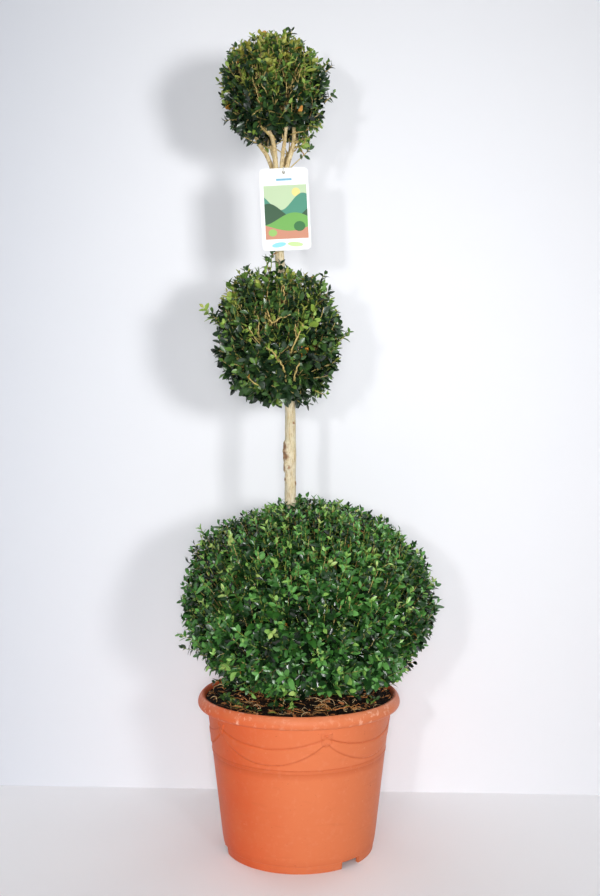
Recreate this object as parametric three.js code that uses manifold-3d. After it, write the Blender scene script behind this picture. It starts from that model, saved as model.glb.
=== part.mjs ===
// A boxwood shrub clipped into three leafy balls on one bare stem, growing in a round plastic pot.
// Lengths are millimetres and +Z is up. The origin is the middle of the pot's flat underside, and the
// front, which a viewer sees, faces -Y.

import * as THREE from "three";
import { mergeVertices } from "three/addons/utils/BufferGeometryUtils.js";
import Module from "manifold-3d";

const wasm = await Module();
wasm.setup();

// Driving sizes

const gap = 0.3; // between neighbouring solids

const pot = {
  height: 220,
  footRadius: 105.5,
  footRise: 10, // the floor and the foot notches come up to here
  kneeRadius: 109.2, // the wall turns steeper at this height
  kneeHeight: 20,
  wallTopRadius: 130.8, // where the wall meets the lip
  wall: 2.5,
  lipRadius: 144,
  lipHeight: 17,
  // The lip's round section, as millimetres inward from its radius and down from its top.
  lipOutside: [[2.5, 17], [0.4, 14], [0, 10.5], [1.2, 5.5], [4.5, 1]],
  lipInside: [[7.5, 0], [10.5, 1], [13, 5]],
  footWidth: 5, // of the ring that the pot stands on
  padRadius: 30, // the middle of the floor dips back down to the ground
  beadLow: 142.3, // a raised band round the wall
  beadHigh: 146.8,
  beadProud: 0.8,
  sides: 48,
  notchCount: 3,
  notchWidth: 32,
  notchTurn: -48, // degrees from +X to the middle of the first notch
  drainCount: 6,
  drainRadius: 6,
  drainCircle: 82, // radius
};

const soil = { edgeHeight: 211, heartHeight: 214, heartRadius: 26, roughness: 1.6 };

const trunk = {
  // The middle of the stem, from the soil up to the head where the boughs part.
  line: [
    [-1, 0, soil.heartHeight + gap],
    [-4, 1.5, 300],
    [-9, 2, 400],
    [-12.1, 0.5, 487],
    [-12.1, -1, 560],
    [-12.6, -1, 630],
    [-17, 0, 700],
    [-23.5, 1, 780],
    [-27.3, 0.5, 835],
    [-28.5, 0, 900],
    [-28.5, 0, 950],
  ],
  footRadius: 9.5,
  topRadius: 6.3,
  flare: 7.5, // extra radius at the soil, gone a few centimetres higher up
  flareHeight: 13,
  head: 4.6, // extra radius of the swollen head
  headHeight: 16,
  sides: 12,
  steps: 28,
};

const bough = { taper: 0.45, sides: 7, steps: 8 }; // taper is the share of the radius lost by the tip

// Each bough leaves the head and ends inside the top ball's core. radius is at its foot.
const topBoughs = [
  { radius: 3.2, line: [[-36, 1], [-45, 2, 984], [-57, 2, 1002], [-66, 2, 1026], [-64, 1, 1056]] },
  { radius: 3.9, line: [[-32.7, -5.7], [-34, -9, 984], [-37, -14, 1003], [-46, -20, 1024], [-50, -24, 1050]] },
  { radius: 3.1, line: [[-25.5, -6.5], [-22.5, -12, 987], [-19, -18, 1008], [-18, -24, 1030], [-20, -30, 1052]] },
  { radius: 3.7, line: [[-21.2, 0], [-12.5, -3, 983], [-7, -5, 1004], [-8, -6, 1028], [-14, -7, 1056]] },
  { radius: 3, line: [[-24.4, 6.2], [-17, 14, 986], [-8, 23, 1008], [0, 28, 1032], [-4, 26, 1058]] },
  { radius: 3, line: [[-32.2, 6.4], [-36, 14, 986], [-43, 24, 1008], [-50, 32, 1032], [-48, 28, 1058]] },
];

// Each bough leaves the stem at the height from, at a turn in degrees round it, and swings out and up.
const middleBoughs = [
  { turn: 178, from: 636, out: 42, to: 682, radius: 2.4 },
  { turn: 112, from: 645, out: 38, to: 682, radius: 2.6 },
  { turn: 40, from: 640, out: 40, to: 682, radius: 2.4 },
  { turn: -28, from: 646, out: 36, to: 682, radius: 2.6 },
  { turn: -100, from: 640, out: 38, to: 682, radius: 2.4 },
];

// Each ball keeps inside its clipped outline: a rounded block, whose lower half has its own height. square
// is 2 for an ellipsoid and higher for fuller corners. bumps swell or dent it by that share of the radius,
// at a direction (x, y, z) and about spread degrees wide.
const balls = [
  {
    name: "ball_bottom",
    centre: [14, 0, 352],
    radii: [185, 178, 149],
    radiusBelow: 168,
    square: 2,
    core: 0.79,
    shoots: 72,
    leaf: 41,
    seed: 11,
    bumps: [
      { at: [-0.85, 0, 0.4], gain: 0.04, spread: 22 },
      { at: [-0.7, 0, -0.72], gain: 0.06, spread: 16 },
      { at: [0.8, 0, -0.6], gain: -0.03, spread: 22 },
      { at: [0, -0.8, -0.6], gain: -0.04, spread: 28 },
      { at: [0.3, -0.95, 0.2], gain: 0.03, spread: 20 },
      { at: [-0.2, 0.9, 0.3], gain: -0.03, spread: 24 },
    ],
  },
  {
    name: "ball_middle",
    centre: [-28, 0, 728],
    radii: [96, 93, 102],
    radiusBelow: 104,
    square: 2.4,
    core: 0.73,
    shoots: 32,
    leaf: 29,
    seed: 23,
    bumps: [
      { at: [-0.98, 0, 0.05], gain: -0.1, spread: 12 },
      { at: [-0.95, 0, 0.3], gain: 0.14, spread: 9 },
      { at: [0.02, 0, 1], gain: 0.14, spread: 8 },
      { at: [0.92, 0, 0.38], gain: -0.06, spread: 14 },
      { at: [0.92, 0, -0.38], gain: -0.08, spread: 15 },
      { at: [0.4, -0.85, -0.3], gain: -0.05, spread: 18 },
    ],
  },
  {
    name: "ball_top",
    centre: [-36, 0, 1083],
    radii: [83, 81, 84],
    radiusBelow: 89,
    square: 2,
    core: 0.71,
    shoots: 30,
    leaf: 26,
    seed: 37,
    bumps: [
      { at: [0.7, 0, 0.72], gain: -0.13, spread: 13 },
      { at: [-0.42, 0, 0.9], gain: -0.1, spread: 17 },
      { at: [0.76, 0, -0.65], gain: 0.08, spread: 16 },
      { at: [0.97, 0, -0.3], gain: -0.09, spread: 11 },
      { at: [0.1, 0, -1], gain: -0.24, spread: 24 },
      { at: [-0.3, -0.9, 0.3], gain: -0.07, spread: 18 },
    ],
  },
];

const foliage = {
  coreLumps: 0.06, // share of the core's radius
  coreFaces: [18, 10],
  rise: 0.2, // how far a shoot starts below where it ends
  sunk: 0.14, // share of the ball's radius that a shoot's root lies under the core's surface
  apart: 14, // degrees between shoots, at least
  twig: 0.055, // radius, as a share of the leaf's length
  leafWidth: 0.62, // these are shares of the leaf's length
  leafWidest: 0.5,
  leafThickness: 0.06,
  leafSpacing: 0.6,
  pairSpread: [0.89, 0.45], // how far a pair's leaves point sideways and along their shoot
  clearance: 1.2, // mm, from anything that isn't the ball
};

const tag = {
  width: 68,
  height: 115,
  thickness: 0.8,
  corner: 7,
  hole: 2.4, // radius
  holeDrop: 6, // from the top edge to the middle of the hole
  topMiddle: [-22, -24, 961],
  roll: 2.8, // degrees
  loopRadius: 0.8,
};

// Colours: what a new plant in a clean pot shows
const colours = {
  terracotta: 0xd9673c,
  soil: 0x2b1d14,
  bark: 0xcdb98a,
  foliage: 0x2f5a22,
  card: 0xf2f4f3,
};

// Helpers

/** A repeatable random number between 0 and 1, from a seed (mulberry32). */
function seeded(seed) {
  let state = seed;
  return () => {
    state = (state + 0x6d2b79f5) | 0;
    let mixed = Math.imul(state ^ (state >>> 15), 1 | state);
    mixed = (mixed + Math.imul(mixed ^ (mixed >>> 7), 61 | mixed)) ^ mixed;
    return ((mixed ^ (mixed >>> 14)) >>> 0) / 4294967296;
  };
}

/** A closed geometry as a solid that can be joined and cut. */
function solidFrom(geometry) {
  const bare = geometry.clone();
  for (const name of Object.keys(bare.attributes)) {
    if (name !== "position") bare.deleteAttribute(name);
  }
  const merged = mergeVertices(bare, 1e-4);
  return new wasm.Manifold(
    new wasm.Mesh({
      numProp: 3,
      vertProperties: merged.attributes.position.array,
      triVerts: new Uint32Array(merged.index.array),
    }),
  );
}

/** A solid as a named mesh of one material. */
function meshOf(name, solid, colour, roughness) {
  const { vertProperties, triVerts, numProp } = solid.getMesh();
  const corners = new Float32Array((vertProperties.length / numProp) * 3);
  for (let i = 0; i < corners.length / 3; i++) {
    corners.set(vertProperties.subarray(i * numProp, i * numProp + 3), i * 3);
  }
  const geometry = new THREE.BufferGeometry()
    .setAttribute("position", new THREE.BufferAttribute(corners, 3))
    .setIndex(new THREE.BufferAttribute(triVerts, 1));
  geometry.computeVertexNormals();
  const material = new THREE.MeshStandardMaterial({ color: colour, roughness, metalness: 0 });
  const mesh = new THREE.Mesh(geometry, material);
  mesh.name = name;
  return mesh;
}

/** A ring turned round Z from a closed outline of [radius, height] corners. */
function turned(outline, sides) {
  const corners = outline.map(([radius, height]) => new THREE.Vector2(radius, height));
  return new THREE.LatheGeometry(corners, sides).rotateX(Math.PI / 2);
}

const vector = (values) => new THREE.Vector3(...values);
const degrees = THREE.MathUtils.degToRad;

const crowding = 0.8; // 0 spaces a level limb's sections evenly, and near 1 crowds them to its ends

// A cylinder bent along a line, round in section, its radius given by radiusAt(share of the length).
// level keeps every section horizontal, so that both ends are flat cuts, and crowds sections to the ends.
function limb(line, radiusAt, sides, steps, level = false) {
  const curve = new THREE.CatmullRomCurve3(line.map(vector), false, "centripetal");
  const frames = curve.computeFrenetFrames(steps, false);
  const geometry = new THREE.CylinderGeometry(1, 1, 1, sides, steps);
  const position = geometry.attributes.position;
  const across = new THREE.Vector3();
  const along = new THREE.Vector3();
  for (let i = 0; i < position.count; i++) {
    const even = position.getY(i) + 0.5;
    const share = level ? even - (crowding * Math.sin(2 * Math.PI * even)) / (2 * Math.PI) : even;
    const step = Math.round(even * steps);
    across.copy(level ? new THREE.Vector3(1, 0, 0) : frames.normals[step]);
    along.copy(level ? new THREE.Vector3(0, -1, 0) : frames.binormals[step].clone().negate());
    const radius = radiusAt(share);
    const point = curve
      .getPointAt(share)
      .addScaledVector(across, position.getX(i) * radius)
      .addScaledVector(along, position.getZ(i) * radius);
    position.setXYZ(i, point.x, point.y, point.z);
  }
  return solidFrom(geometry);
}

// Pot and soil

const lipFoot = pot.height - pot.lipHeight;

/** The outside radius of the pot's wall at a height, below the lip. */
function wallRadius(height) {
  if (height < pot.kneeHeight) {
    return THREE.MathUtils.mapLinear(height, 0, pot.kneeHeight, pot.footRadius, pot.kneeRadius);
  }
  return THREE.MathUtils.mapLinear(height, pot.kneeHeight, lipFoot, pot.kneeRadius, pot.wallTopRadius);
}

/** The radius of the pot's inner face at a height, up to the lip. */
const innerRadius = (height) => wallRadius(height) - pot.wall;

function makePot() {
  const floorTop = pot.footRise + pot.wall;
  const footInside = pot.footRadius - pot.footWidth;
  const lipPoint = ([inward, down]) => [pot.lipRadius - inward, pot.height - down];
  const profile = [
    [0, 0],
    [pot.padRadius, 0],
    [pot.padRadius + 6, pot.footRise],
    [footInside, pot.footRise],
    [footInside, 0],
    [pot.footRadius, 0],
    [wallRadius(pot.footRise) - 0.6, pot.footRise],
    [wallRadius(pot.footRise) + 0.2, pot.footRise + 0.8],
    [pot.kneeRadius, pot.kneeHeight],
    [wallRadius(pot.beadLow), pot.beadLow],
    [wallRadius(pot.beadLow) + pot.beadProud, pot.beadLow + 0.6],
    [wallRadius(pot.beadHigh) + pot.beadProud, pot.beadHigh - 0.6],
    [wallRadius(pot.beadHigh), pot.beadHigh],
    [pot.wallTopRadius, lipFoot],
    ...pot.lipOutside.map(lipPoint),
    ...pot.lipInside.map(lipPoint),
    [innerRadius(lipFoot), lipFoot],
    [innerRadius(floorTop), floorTop],
    [pot.padRadius + 3, floorTop],
    [pot.padRadius - 3, pot.wall],
    [0, pot.wall],
  ];
  let body = solidFrom(turned(profile, pot.sides));
  for (let i = 0; i < pot.notchCount; i++) {
    const notch = new THREE.BoxGeometry(4 * pot.footWidth, pot.notchWidth, 2 * pot.footRise - 0.8)
      .translate(pot.footRadius - pot.footWidth / 2, 0, 0)
      .rotateZ(degrees(pot.notchTurn + (i * 360) / pot.notchCount));
    body = body.subtract(solidFrom(notch));
  }
  for (let i = 0; i < pot.drainCount; i++) {
    const drain = new THREE.CylinderGeometry(pot.drainRadius, pot.drainRadius, 3 * pot.wall, 10)
      .rotateX(Math.PI / 2)
      .translate(pot.drainCircle, 0, pot.footRise + pot.wall / 2)
      .rotateZ(degrees(((i + 0.5) * 360) / pot.drainCount));
    body = body.subtract(solidFrom(drain));
  }
  return body;
}

/** The height of the soil at a distance from the pot's axis, before its lumps. */
function soilHeight(radius) {
  const slope = innerRadius(lipFoot) - soil.heartRadius;
  const share = THREE.MathUtils.clamp((radius - soil.heartRadius) / slope, 0, 1);
  return THREE.MathUtils.lerp(soil.heartHeight, soil.edgeHeight, share);
}

function makeSoil() {
  const random = seeded(5);
  const floorTop = pot.footRise + pot.wall + gap;
  const outer = (height) => innerRadius(height) - gap * 1.4;
  const rings = [outer(lipFoot) - 0.5, 108, 84, 58, soil.heartRadius];
  const profile = [
    [0, pot.wall + gap],
    [pot.padRadius - 3 - gap, pot.wall + gap],
    [pot.padRadius + 3 - gap, floorTop],
    [outer(floorTop), floorTop],
    [outer(lipFoot), lipFoot],
    ...rings.map((radius) => [radius, soilHeight(radius)]),
    [0, soil.heartHeight],
  ];
  const geometry = turned(profile, pot.sides);
  const merged = mergeVertices(geometry.deleteAttribute("normal").deleteAttribute("uv"), 1e-4);
  const position = merged.attributes.position;
  for (let i = 0; i < position.count; i++) {
    const radius = Math.hypot(position.getX(i), position.getY(i));
    if (position.getZ(i) > lipFoot + 1 && radius > soil.heartRadius + 1) {
      position.setZ(i, position.getZ(i) + (random() - 0.5) * 2 * soil.roughness);
    }
  }
  return solidFrom(merged);
}

// Stem and boughs

const trunkLine = new THREE.CatmullRomCurve3(trunk.line.map(vector), false, "centripetal");

/** The radius of the stem at a share of its length: a steady taper, a root flare and a swollen head. */
function trunkRadius(share) {
  const length = trunkLine.getLength();
  const taper = THREE.MathUtils.lerp(trunk.footRadius, trunk.topRadius, share);
  const flare = trunk.flare * Math.exp((-share * length) / trunk.flareHeight);
  const head = trunk.head * Math.exp((-(1 - share) * length) / trunk.headHeight);
  return taper + flare + head;
}

const makeTrunk = (extra = 0) =>
  limb(trunk.line, (share) => trunkRadius(share) + extra, trunk.sides, trunk.steps, true);

/** The point of the stem's middle line at a height, and the stem's radius there. */
function trunkAt(height) {
  const bottom = trunk.line[0][2];
  const top = trunk.line.at(-1)[2];
  let share = THREE.MathUtils.clamp((height - bottom) / (top - bottom), 0, 1);
  for (let i = 0; i < 4; i++) {
    share = THREE.MathUtils.clamp(share + (height - trunkLine.getPointAt(share).z) / (top - bottom), 0, 1);
  }
  return { point: trunkLine.getPointAt(share), radius: trunkRadius(share) };
}

/** Every bough as a line of points, a foot radius and a name. */
function boughPlans() {
  const headTop = trunk.line.at(-1)[2] + gap + 0.2;
  const plans = topBoughs.map(({ line, radius }, i) => ({
    name: `bough_top_${i + 1}`,
    line: [[...line[0], headTop], [line[0][0], line[0][1], headTop + 6], ...line.slice(1)],
    radius,
    ball: 2,
  }));
  middleBoughs.forEach(({ turn, from, out, to, radius }, i) => {
    const way = new THREE.Vector3(Math.cos(degrees(turn)), Math.sin(degrees(turn)), 0);
    const root = trunkAt(from);
    const at = (distance, height) => root.point.clone().setZ(height).addScaledVector(way, distance).toArray();
    const line = [
      at(root.radius + gap + 1.3 * radius, from),
      at(out * 0.62, THREE.MathUtils.lerp(from, to, 0.26)),
      at(out * 0.94, THREE.MathUtils.lerp(from, to, 0.6)),
      at(out, to),
    ];
    plans.push({ name: `bough_middle_${i + 1}`, line, radius, ball: 1 });
  });
  return plans;
}

const makeBough = (plan, extra = 0) =>
  limb(plan.line, (share) => plan.radius * (1 - bough.taper * share) + extra, bough.sides, bough.steps);

// Foliage

/** How far a ball reaches from its centre in a direction. */
function reach(ball, direction) {
  const [across, deep, above] = ball.radii;
  const high = direction.z < 0 ? ball.radiusBelow : above;
  const sides = [direction.x / across, direction.y / deep, direction.z / high];
  const sum = sides.reduce((total, side) => total + Math.abs(side) ** ball.square, 0);
  const radius = sum ** (-1 / ball.square);
  let share = 1;
  for (const { at, gain, spread } of ball.bumps) {
    const away = THREE.MathUtils.radToDeg(direction.angleTo(vector(at))) / spread;
    share += gain * Math.exp(-away * away);
  }
  return radius * share;
}

/** The height that foliage keeps above at a distance from the pot's axis: the soil, then the rim. */
function groundHeight(radius) {
  if (radius > pot.lipRadius + 4) return 0;
  return radius > innerRadius(pot.height) - 4 ? pot.height : soil.heartHeight;
}

/** True if a point is inside the ball's outline and clear of the soil, the pot, the stem and the boughs. */
function isFree(ball, point, clearance) {
  const offset = point.clone().sub(vector(ball.centre));
  const distance = offset.length();
  if (distance > reach(ball, offset.normalize())) return false;
  if (point.z < groundHeight(Math.hypot(point.x, point.y)) + soil.roughness + clearance) return false;
  const stem = trunkAt(point.z);
  if (point.distanceTo(stem.point) < stem.radius + clearance) return false;
  return limbPoints.every((limbPoint) => point.distanceTo(limbPoint.point) > limbPoint.radius + clearance);
}

/** Points along every bough, close enough together to test against. */
const limbPoints = boughPlans().flatMap((plan) => {
  const curve = new THREE.CatmullRomCurve3(plan.line.map(vector), false, "centripetal");
  return curve.getSpacedPoints(24).map((point) => ({ point, radius: plan.radius }));
});

/** A flat eight-faced leaf from root to tip, turned to face a direction. */
function leafSolid(root, tip, facing) {
  const length = root.distanceTo(tip);
  const leaf = new THREE.OctahedronGeometry(1);
  const position = leaf.attributes.position;
  for (let i = 0; i < position.count; i++) {
    const x = position.getX(i);
    position.setXYZ(
      i,
      (Math.abs(x) < 0.5 ? 2 * foliage.leafWidest - 1 : x) * (length / 2),
      position.getY(i) * foliage.leafWidth * (length / 2),
      position.getZ(i) * foliage.leafThickness * (length / 2),
    );
  }
  const along = tip.clone().sub(root).normalize();
  const side = new THREE.Vector3().crossVectors(facing, along).normalize();
  const up = new THREE.Vector3().crossVectors(along, side);
  const middle = root.clone().lerp(tip, 0.5);
  leaf.applyMatrix4(new THREE.Matrix4().makeBasis(along, side, up).setPosition(middle));
  return solidFrom(leaf);
}

/** A three-sided twig that narrows from root to tip. */
function twigSolid(root, tip, radius) {
  const length = root.distanceTo(tip);
  const along = tip.clone().sub(root).normalize();
  const turn = new THREE.Quaternion().setFromUnitVectors(new THREE.Vector3(0, 1, 0), along);
  const twig = new THREE.CylinderGeometry(radius * 0.45, radius, length, 3).translate(0, length / 2, 0);
  twig.applyQuaternion(turn).translate(root.x, root.y, root.z);
  return solidFrom(twig);
}

/** The dense inside of a ball: its outline, smaller and lumpy, cut clear of the stem, boughs and soil. */
function coreSolid(ball) {
  const geometry = new THREE.SphereGeometry(1, ...foliage.coreFaces).rotateX(Math.PI / 2);
  const position = geometry.attributes.position;
  const centre = vector(ball.centre);
  const lowest = soil.heartHeight + soil.roughness + 2;
  for (let i = 0; i < position.count; i++) {
    const direction = new THREE.Vector3().fromBufferAttribute(position, i).normalize();
    const wave = Math.sin(7 * direction.x + ball.seed) * Math.cos(6 * direction.y - 5 * direction.z);
    const lump = 1 + foliage.coreLumps * wave;
    const point = centre.clone().addScaledVector(direction, reach(ball, direction) * ball.core * lump);
    position.setXYZ(i, point.x, point.y, Math.max(point.z, lowest));
  }
  let core = solidFrom(geometry);
  core = core.subtract(makeTrunk(gap + 0.1));
  for (const plan of boughPlans()) {
    if (balls[plan.ball] === ball) core = core.subtract(makeBough(plan, gap + 0.1));
  }
  return core;
}

// Even directions over a ball and straight along its sides and top, each with the shoot that grows there.
// It leaves the core a little lower than it ends, so that it rises, and stops a leaf short of the outline.
function shootsOf(ball) {
  const random = seeded(ball.seed);
  const centre = vector(ball.centre);
  const golden = Math.PI * (3 - Math.sqrt(5));
  const furthest = [[1, 0, 0.02], [-1, 0, -0.04], [0, 1, 0], [0, -1, 0], [0.12, 0, 0.99]].map(vector);
  const ways = furthest.map((way) => way.normalize());
  for (let i = 0; i < ball.shoots; i++) {
    const z = 1 - (2 * (i + 0.5)) / ball.shoots;
    const turn = i * golden + (random() - 0.5) * 0.3;
    const flat = Math.sqrt(1 - z * z);
    const way = new THREE.Vector3(flat * Math.cos(turn), flat * Math.sin(turn), z);
    if (ways.every((other) => other.angleTo(way) > degrees(foliage.apart))) ways.push(way);
  }
  return ways.map((way, i) => {
    const below = way.clone().add(new THREE.Vector3(0, 0, -foliage.rise)).normalize();
    const root = centre.clone().addScaledVector(below, reach(ball, below) * (ball.core - foliage.sunk));
    const fullness = i < furthest.length ? 0.995 : 0.965 + 0.03 * random();
    const outline = centre.clone().addScaledVector(way, reach(ball, way) * fullness);
    const tip = outline.clone().addScaledVector(way, -0.9 * ball.leaf);
    return { root, tip, outline, spin: random() * Math.PI };
  });
}

/** The leaves of one shoot as [root, tip, facing]: one at its end, and an opposite pair just below. */
function leavesOf(ball, shoot) {
  const along = shoot.tip.clone().sub(shoot.root).normalize();
  const side = new THREE.Vector3(0.28, 0.96, 0.1).cross(along).normalize().applyAxisAngle(along, shoot.spin);
  const end = shoot.tip.clone().addScaledVector(along, -0.08 * ball.leaf);
  const [sideways, onward] = foliage.pairSpread;
  const pair = [1, -1].map((way) => {
    const out = side.clone().multiplyScalar(way * sideways).addScaledVector(along, onward).normalize();
    const root = shoot.tip.clone().addScaledVector(along, (0.07 * way - 0.13) * ball.leaf);
    return [root, root.clone().addScaledVector(out, ball.leaf), along];
  });
  return [[end, shoot.outline, side], ...pair];
}

/** True if a straight piece of foliage is free at some shares of its length, with its half width there. */
function isFreeAlong(ball, root, tip, shares, halfWidthAt) {
  return shares.every((share) =>
    isFree(ball, root.clone().lerp(tip, share), halfWidthAt(share) + foliage.clearance),
  );
}

/** One clipped ball: its core with every free twig and leaf fused on. */
function makeBall(ball) {
  const { leafWidth, leafWidest, leafSpacing, twig } = foliage;
  const twigRadius = ball.leaf * twig;
  const halfLeaf = (ball.leaf * leafWidth) / 2;
  const leafHalfWidth = (share) => halfLeaf * Math.min(share / leafWidest, (1 - share) / (1 - leafWidest));
  const leafMiddle = (root, tip) => root.clone().lerp(tip, 0.6);
  const taken = [];
  let whole = coreSolid(ball);
  for (const shoot of shootsOf(ball)) {
    if (!isFreeAlong(ball, shoot.root, shoot.tip, [0, 0.35, 0.7, 1], () => twigRadius)) continue;
    const leaves = leavesOf(ball, shoot).filter(([root, tip]) => {
      const middle = leafMiddle(root, tip);
      return (
        isFreeAlong(ball, root, tip, [0.2, leafWidest, 0.7, 0.85, 1], leafHalfWidth) &&
        taken.every((other) => other.distanceTo(middle) > ball.leaf * leafSpacing)
      );
    });
    if (!leaves.length) continue;
    whole = whole.add(twigSolid(shoot.root, shoot.tip, twigRadius));
    for (const [root, tip, facing] of leaves) {
      whole = whole.add(leafSolid(root, tip, facing));
      taken.push(leafMiddle(root, tip));
    }
  }
  return whole;
}

// Hanging tag

function makeTag() {
  const { width, height, corner, thickness } = tag;
  const card = new THREE.Shape();
  const [left, right, low, high] = [-width / 2, width / 2, -height, 0];
  card.moveTo(left + corner, low);
  card.lineTo(right - corner, low);
  card.absarc(right - corner, low + corner, corner, -Math.PI / 2, 0);
  card.lineTo(right, high - corner);
  card.absarc(right - corner, high - corner, corner, 0, Math.PI / 2);
  card.lineTo(left + corner, high);
  card.absarc(left + corner, high - corner, corner, Math.PI / 2, Math.PI);
  card.lineTo(left, low + corner);
  card.absarc(left + corner, low + corner, corner, Math.PI, 1.5 * Math.PI);
  card.holes.push(new THREE.Path().absarc(0, -tag.holeDrop, tag.hole, 0, 2 * Math.PI, true));
  return new THREE.ExtrudeGeometry(card, { depth: thickness, bevelEnabled: false, curveSegments: 5 })
    .translate(0, 0, -thickness / 2)
    .rotateZ(degrees(tag.roll))
    .rotateX(Math.PI / 2);
}

/** The closed loop that carries the tag: through its hole, over its top edge and round the stem. */
function makeTagLoop() {
  const [x, y, top] = tag.topMiddle;
  const away = tag.loopRadius + gap;
  const stem = trunkAt(top - 20);
  const { x: stemX, y: stemY, z: stemZ } = stem.point;
  const around = stem.radius + away;
  const line = new THREE.CatmullRomCurve3(
    [
      [x, y, top - tag.holeDrop],
      [x - 8, y + 8, top - 13],
      [stemX - around - 1, stemY - 3, stemZ + 2],
      [stemX - around * 0.72, stemY + around * 0.72, stemZ],
      [stemX, stemY + around, stemZ - 1],
      [stemX + around * 0.72, stemY + around * 0.72, stemZ],
      [stemX + around + 1, stemY - 3, stemZ + 3],
      [x + 2, y + 7, top - 5],
      [x + 0.5, y, top + away + 0.8],
      [x, y - away - 0.8, top - 2],
    ].map(vector),
    true,
    "centripetal",
  );
  const [turns, sides] = [32, 6];
  const frames = line.computeFrenetFrames(turns, true);
  const ring = new THREE.TorusGeometry(1, 0.5, sides, turns);
  const position = ring.attributes.position;
  for (let i = 0; i < position.count; i++) {
    const step = (i % (turns + 1)) % turns;
    const turn = ((Math.floor(i / (turns + 1)) % sides) * 2 * Math.PI) / sides;
    const point = line
      .getPointAt(step / turns)
      .addScaledVector(frames.normals[step], Math.cos(turn) * tag.loopRadius)
      .addScaledVector(frames.binormals[step], -Math.sin(turn) * tag.loopRadius);
    position.setXYZ(i, point.x, point.y, point.z);
  }
  return ring;
}

// The whole plant

const plant = new THREE.Group();
plant.add(meshOf("pot", makePot(), colours.terracotta, 0.45));
plant.add(meshOf("potting_soil", makeSoil(), colours.soil, 1));
plant.add(meshOf("trunk", makeTrunk(), colours.bark, 0.8));
for (const plan of boughPlans()) {
  plant.add(meshOf(plan.name, makeBough(plan), colours.bark, 0.8));
}
for (const ball of balls) {
  plant.add(meshOf(ball.name, makeBall(ball), colours.foliage, 0.5));
}

const tagMesh = meshOf("hang_tag", solidFrom(makeTag()), colours.card, 0.4);
tagMesh.position.set(...tag.topMiddle);
plant.add(tagMesh);
plant.add(meshOf("tag_loop", solidFrom(makeTagLoop()), colours.card, 0.4));

export default plant;
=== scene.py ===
# A boxwood shrub clipped into three leafy balls on one bare stem, growing in a round plastic pot.
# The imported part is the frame. Sizes of the plant and the pot are millimetres, as in the part's source,
# and become metres when a mesh is made. Those of the studio are metres. +Z is up, and the front faces -Y.

import math

import bpy
import numpy as np
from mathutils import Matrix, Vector, noise


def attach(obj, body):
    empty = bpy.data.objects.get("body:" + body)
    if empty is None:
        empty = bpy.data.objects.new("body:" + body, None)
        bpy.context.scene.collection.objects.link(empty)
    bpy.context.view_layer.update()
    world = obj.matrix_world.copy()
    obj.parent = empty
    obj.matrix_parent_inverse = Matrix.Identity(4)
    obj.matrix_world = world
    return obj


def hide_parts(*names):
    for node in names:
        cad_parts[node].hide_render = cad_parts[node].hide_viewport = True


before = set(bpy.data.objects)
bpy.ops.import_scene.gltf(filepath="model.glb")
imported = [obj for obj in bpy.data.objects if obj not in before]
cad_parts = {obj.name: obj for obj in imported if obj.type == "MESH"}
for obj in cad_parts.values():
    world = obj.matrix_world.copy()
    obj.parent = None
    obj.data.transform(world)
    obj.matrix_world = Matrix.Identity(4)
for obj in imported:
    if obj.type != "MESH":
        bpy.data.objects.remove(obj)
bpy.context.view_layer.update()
mm = 0.001
up = np.array([0.0, 0.0, 1.0])
colourA, colourB, colourResult = 6, 7, 2  # a Mix node's sockets for colours
print("frame loaded with", len(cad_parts), "nodes")

# Small tools


def pickOnly(piece):
    bpy.ops.object.select_all(action="DESELECT")
    piece.select_set(True)
    bpy.context.view_layer.objects.active = piece


def hexColour(code):
    # linear red, green and blue from a web colour
    shares = [int(code[i : i + 2], 16) / 255 for i in (0, 2, 4)]
    return [s / 12.92 if s < 0.04045 else ((s + 0.055) / 1.055) ** 2.4 for s in shares]


def unit(vectors):
    return vectors / (np.linalg.norm(vectors, axis=-1, keepdims=True) + 1e-12)


def mix(a, b, share):
    return a + (b - a) * share


def smoothStep(value, low, high):
    share = np.clip((value - low) / (high - low), 0, 1)
    return share * share * (3 - 2 * share)


def degreesFrom(ways, target):
    # the angle between each direction and one other
    return np.degrees(np.arccos(np.clip(ways @ unit(np.array(target, float)), -1, 1)))


def addPiece(name, mesh):
    piece = bpy.data.objects.new(name, mesh)
    bpy.context.scene.collection.objects.link(piece)
    return piece


def finish(piece, slotName, *nodes):
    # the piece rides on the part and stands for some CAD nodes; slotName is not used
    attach(piece, "root")
    if nodes:
        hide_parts(*nodes)


def triangleMesh(name, points, corners, materials, slots=None):
    # points in millimetres, and three point numbers to a face
    mesh = bpy.data.meshes.new(name)
    mesh.vertices.add(len(points))
    mesh.vertices.foreach_set("co", (points * mm).astype(np.float32).ravel())
    mesh.loops.add(corners.size)
    mesh.loops.foreach_set("vertex_index", corners.astype(np.int32).ravel())
    mesh.polygons.add(len(corners))
    mesh.polygons.foreach_set("loop_start", np.arange(0, corners.size, 3, dtype=np.int32))
    mesh.polygons.foreach_set("use_smooth", np.ones(len(corners), bool))
    for material in materials:
        mesh.materials.append(material)
    if slots is not None:
        mesh.polygons.foreach_set("material_index", slots.astype(np.int32))
    mesh.update(calc_edges=True)
    return addPiece(name, mesh)


def meshPoints(piece):
    # the points of a mesh in millimetres
    values = np.empty(len(piece.data.vertices) * 3)
    piece.data.vertices.foreach_get("co", values)
    return values.reshape(-1, 3) / mm


def setMeshPoints(piece, points):
    piece.data.vertices.foreach_set("co", (points * mm).astype(np.float32).ravel())
    piece.data.update()


def paintPoints(piece, name, values):
    # a number for each point, which a material reads by its name
    marks = piece.data.attributes.new(name, "FLOAT", "POINT")
    marks.data.foreach_set("value", values.astype(np.float32))


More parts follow.
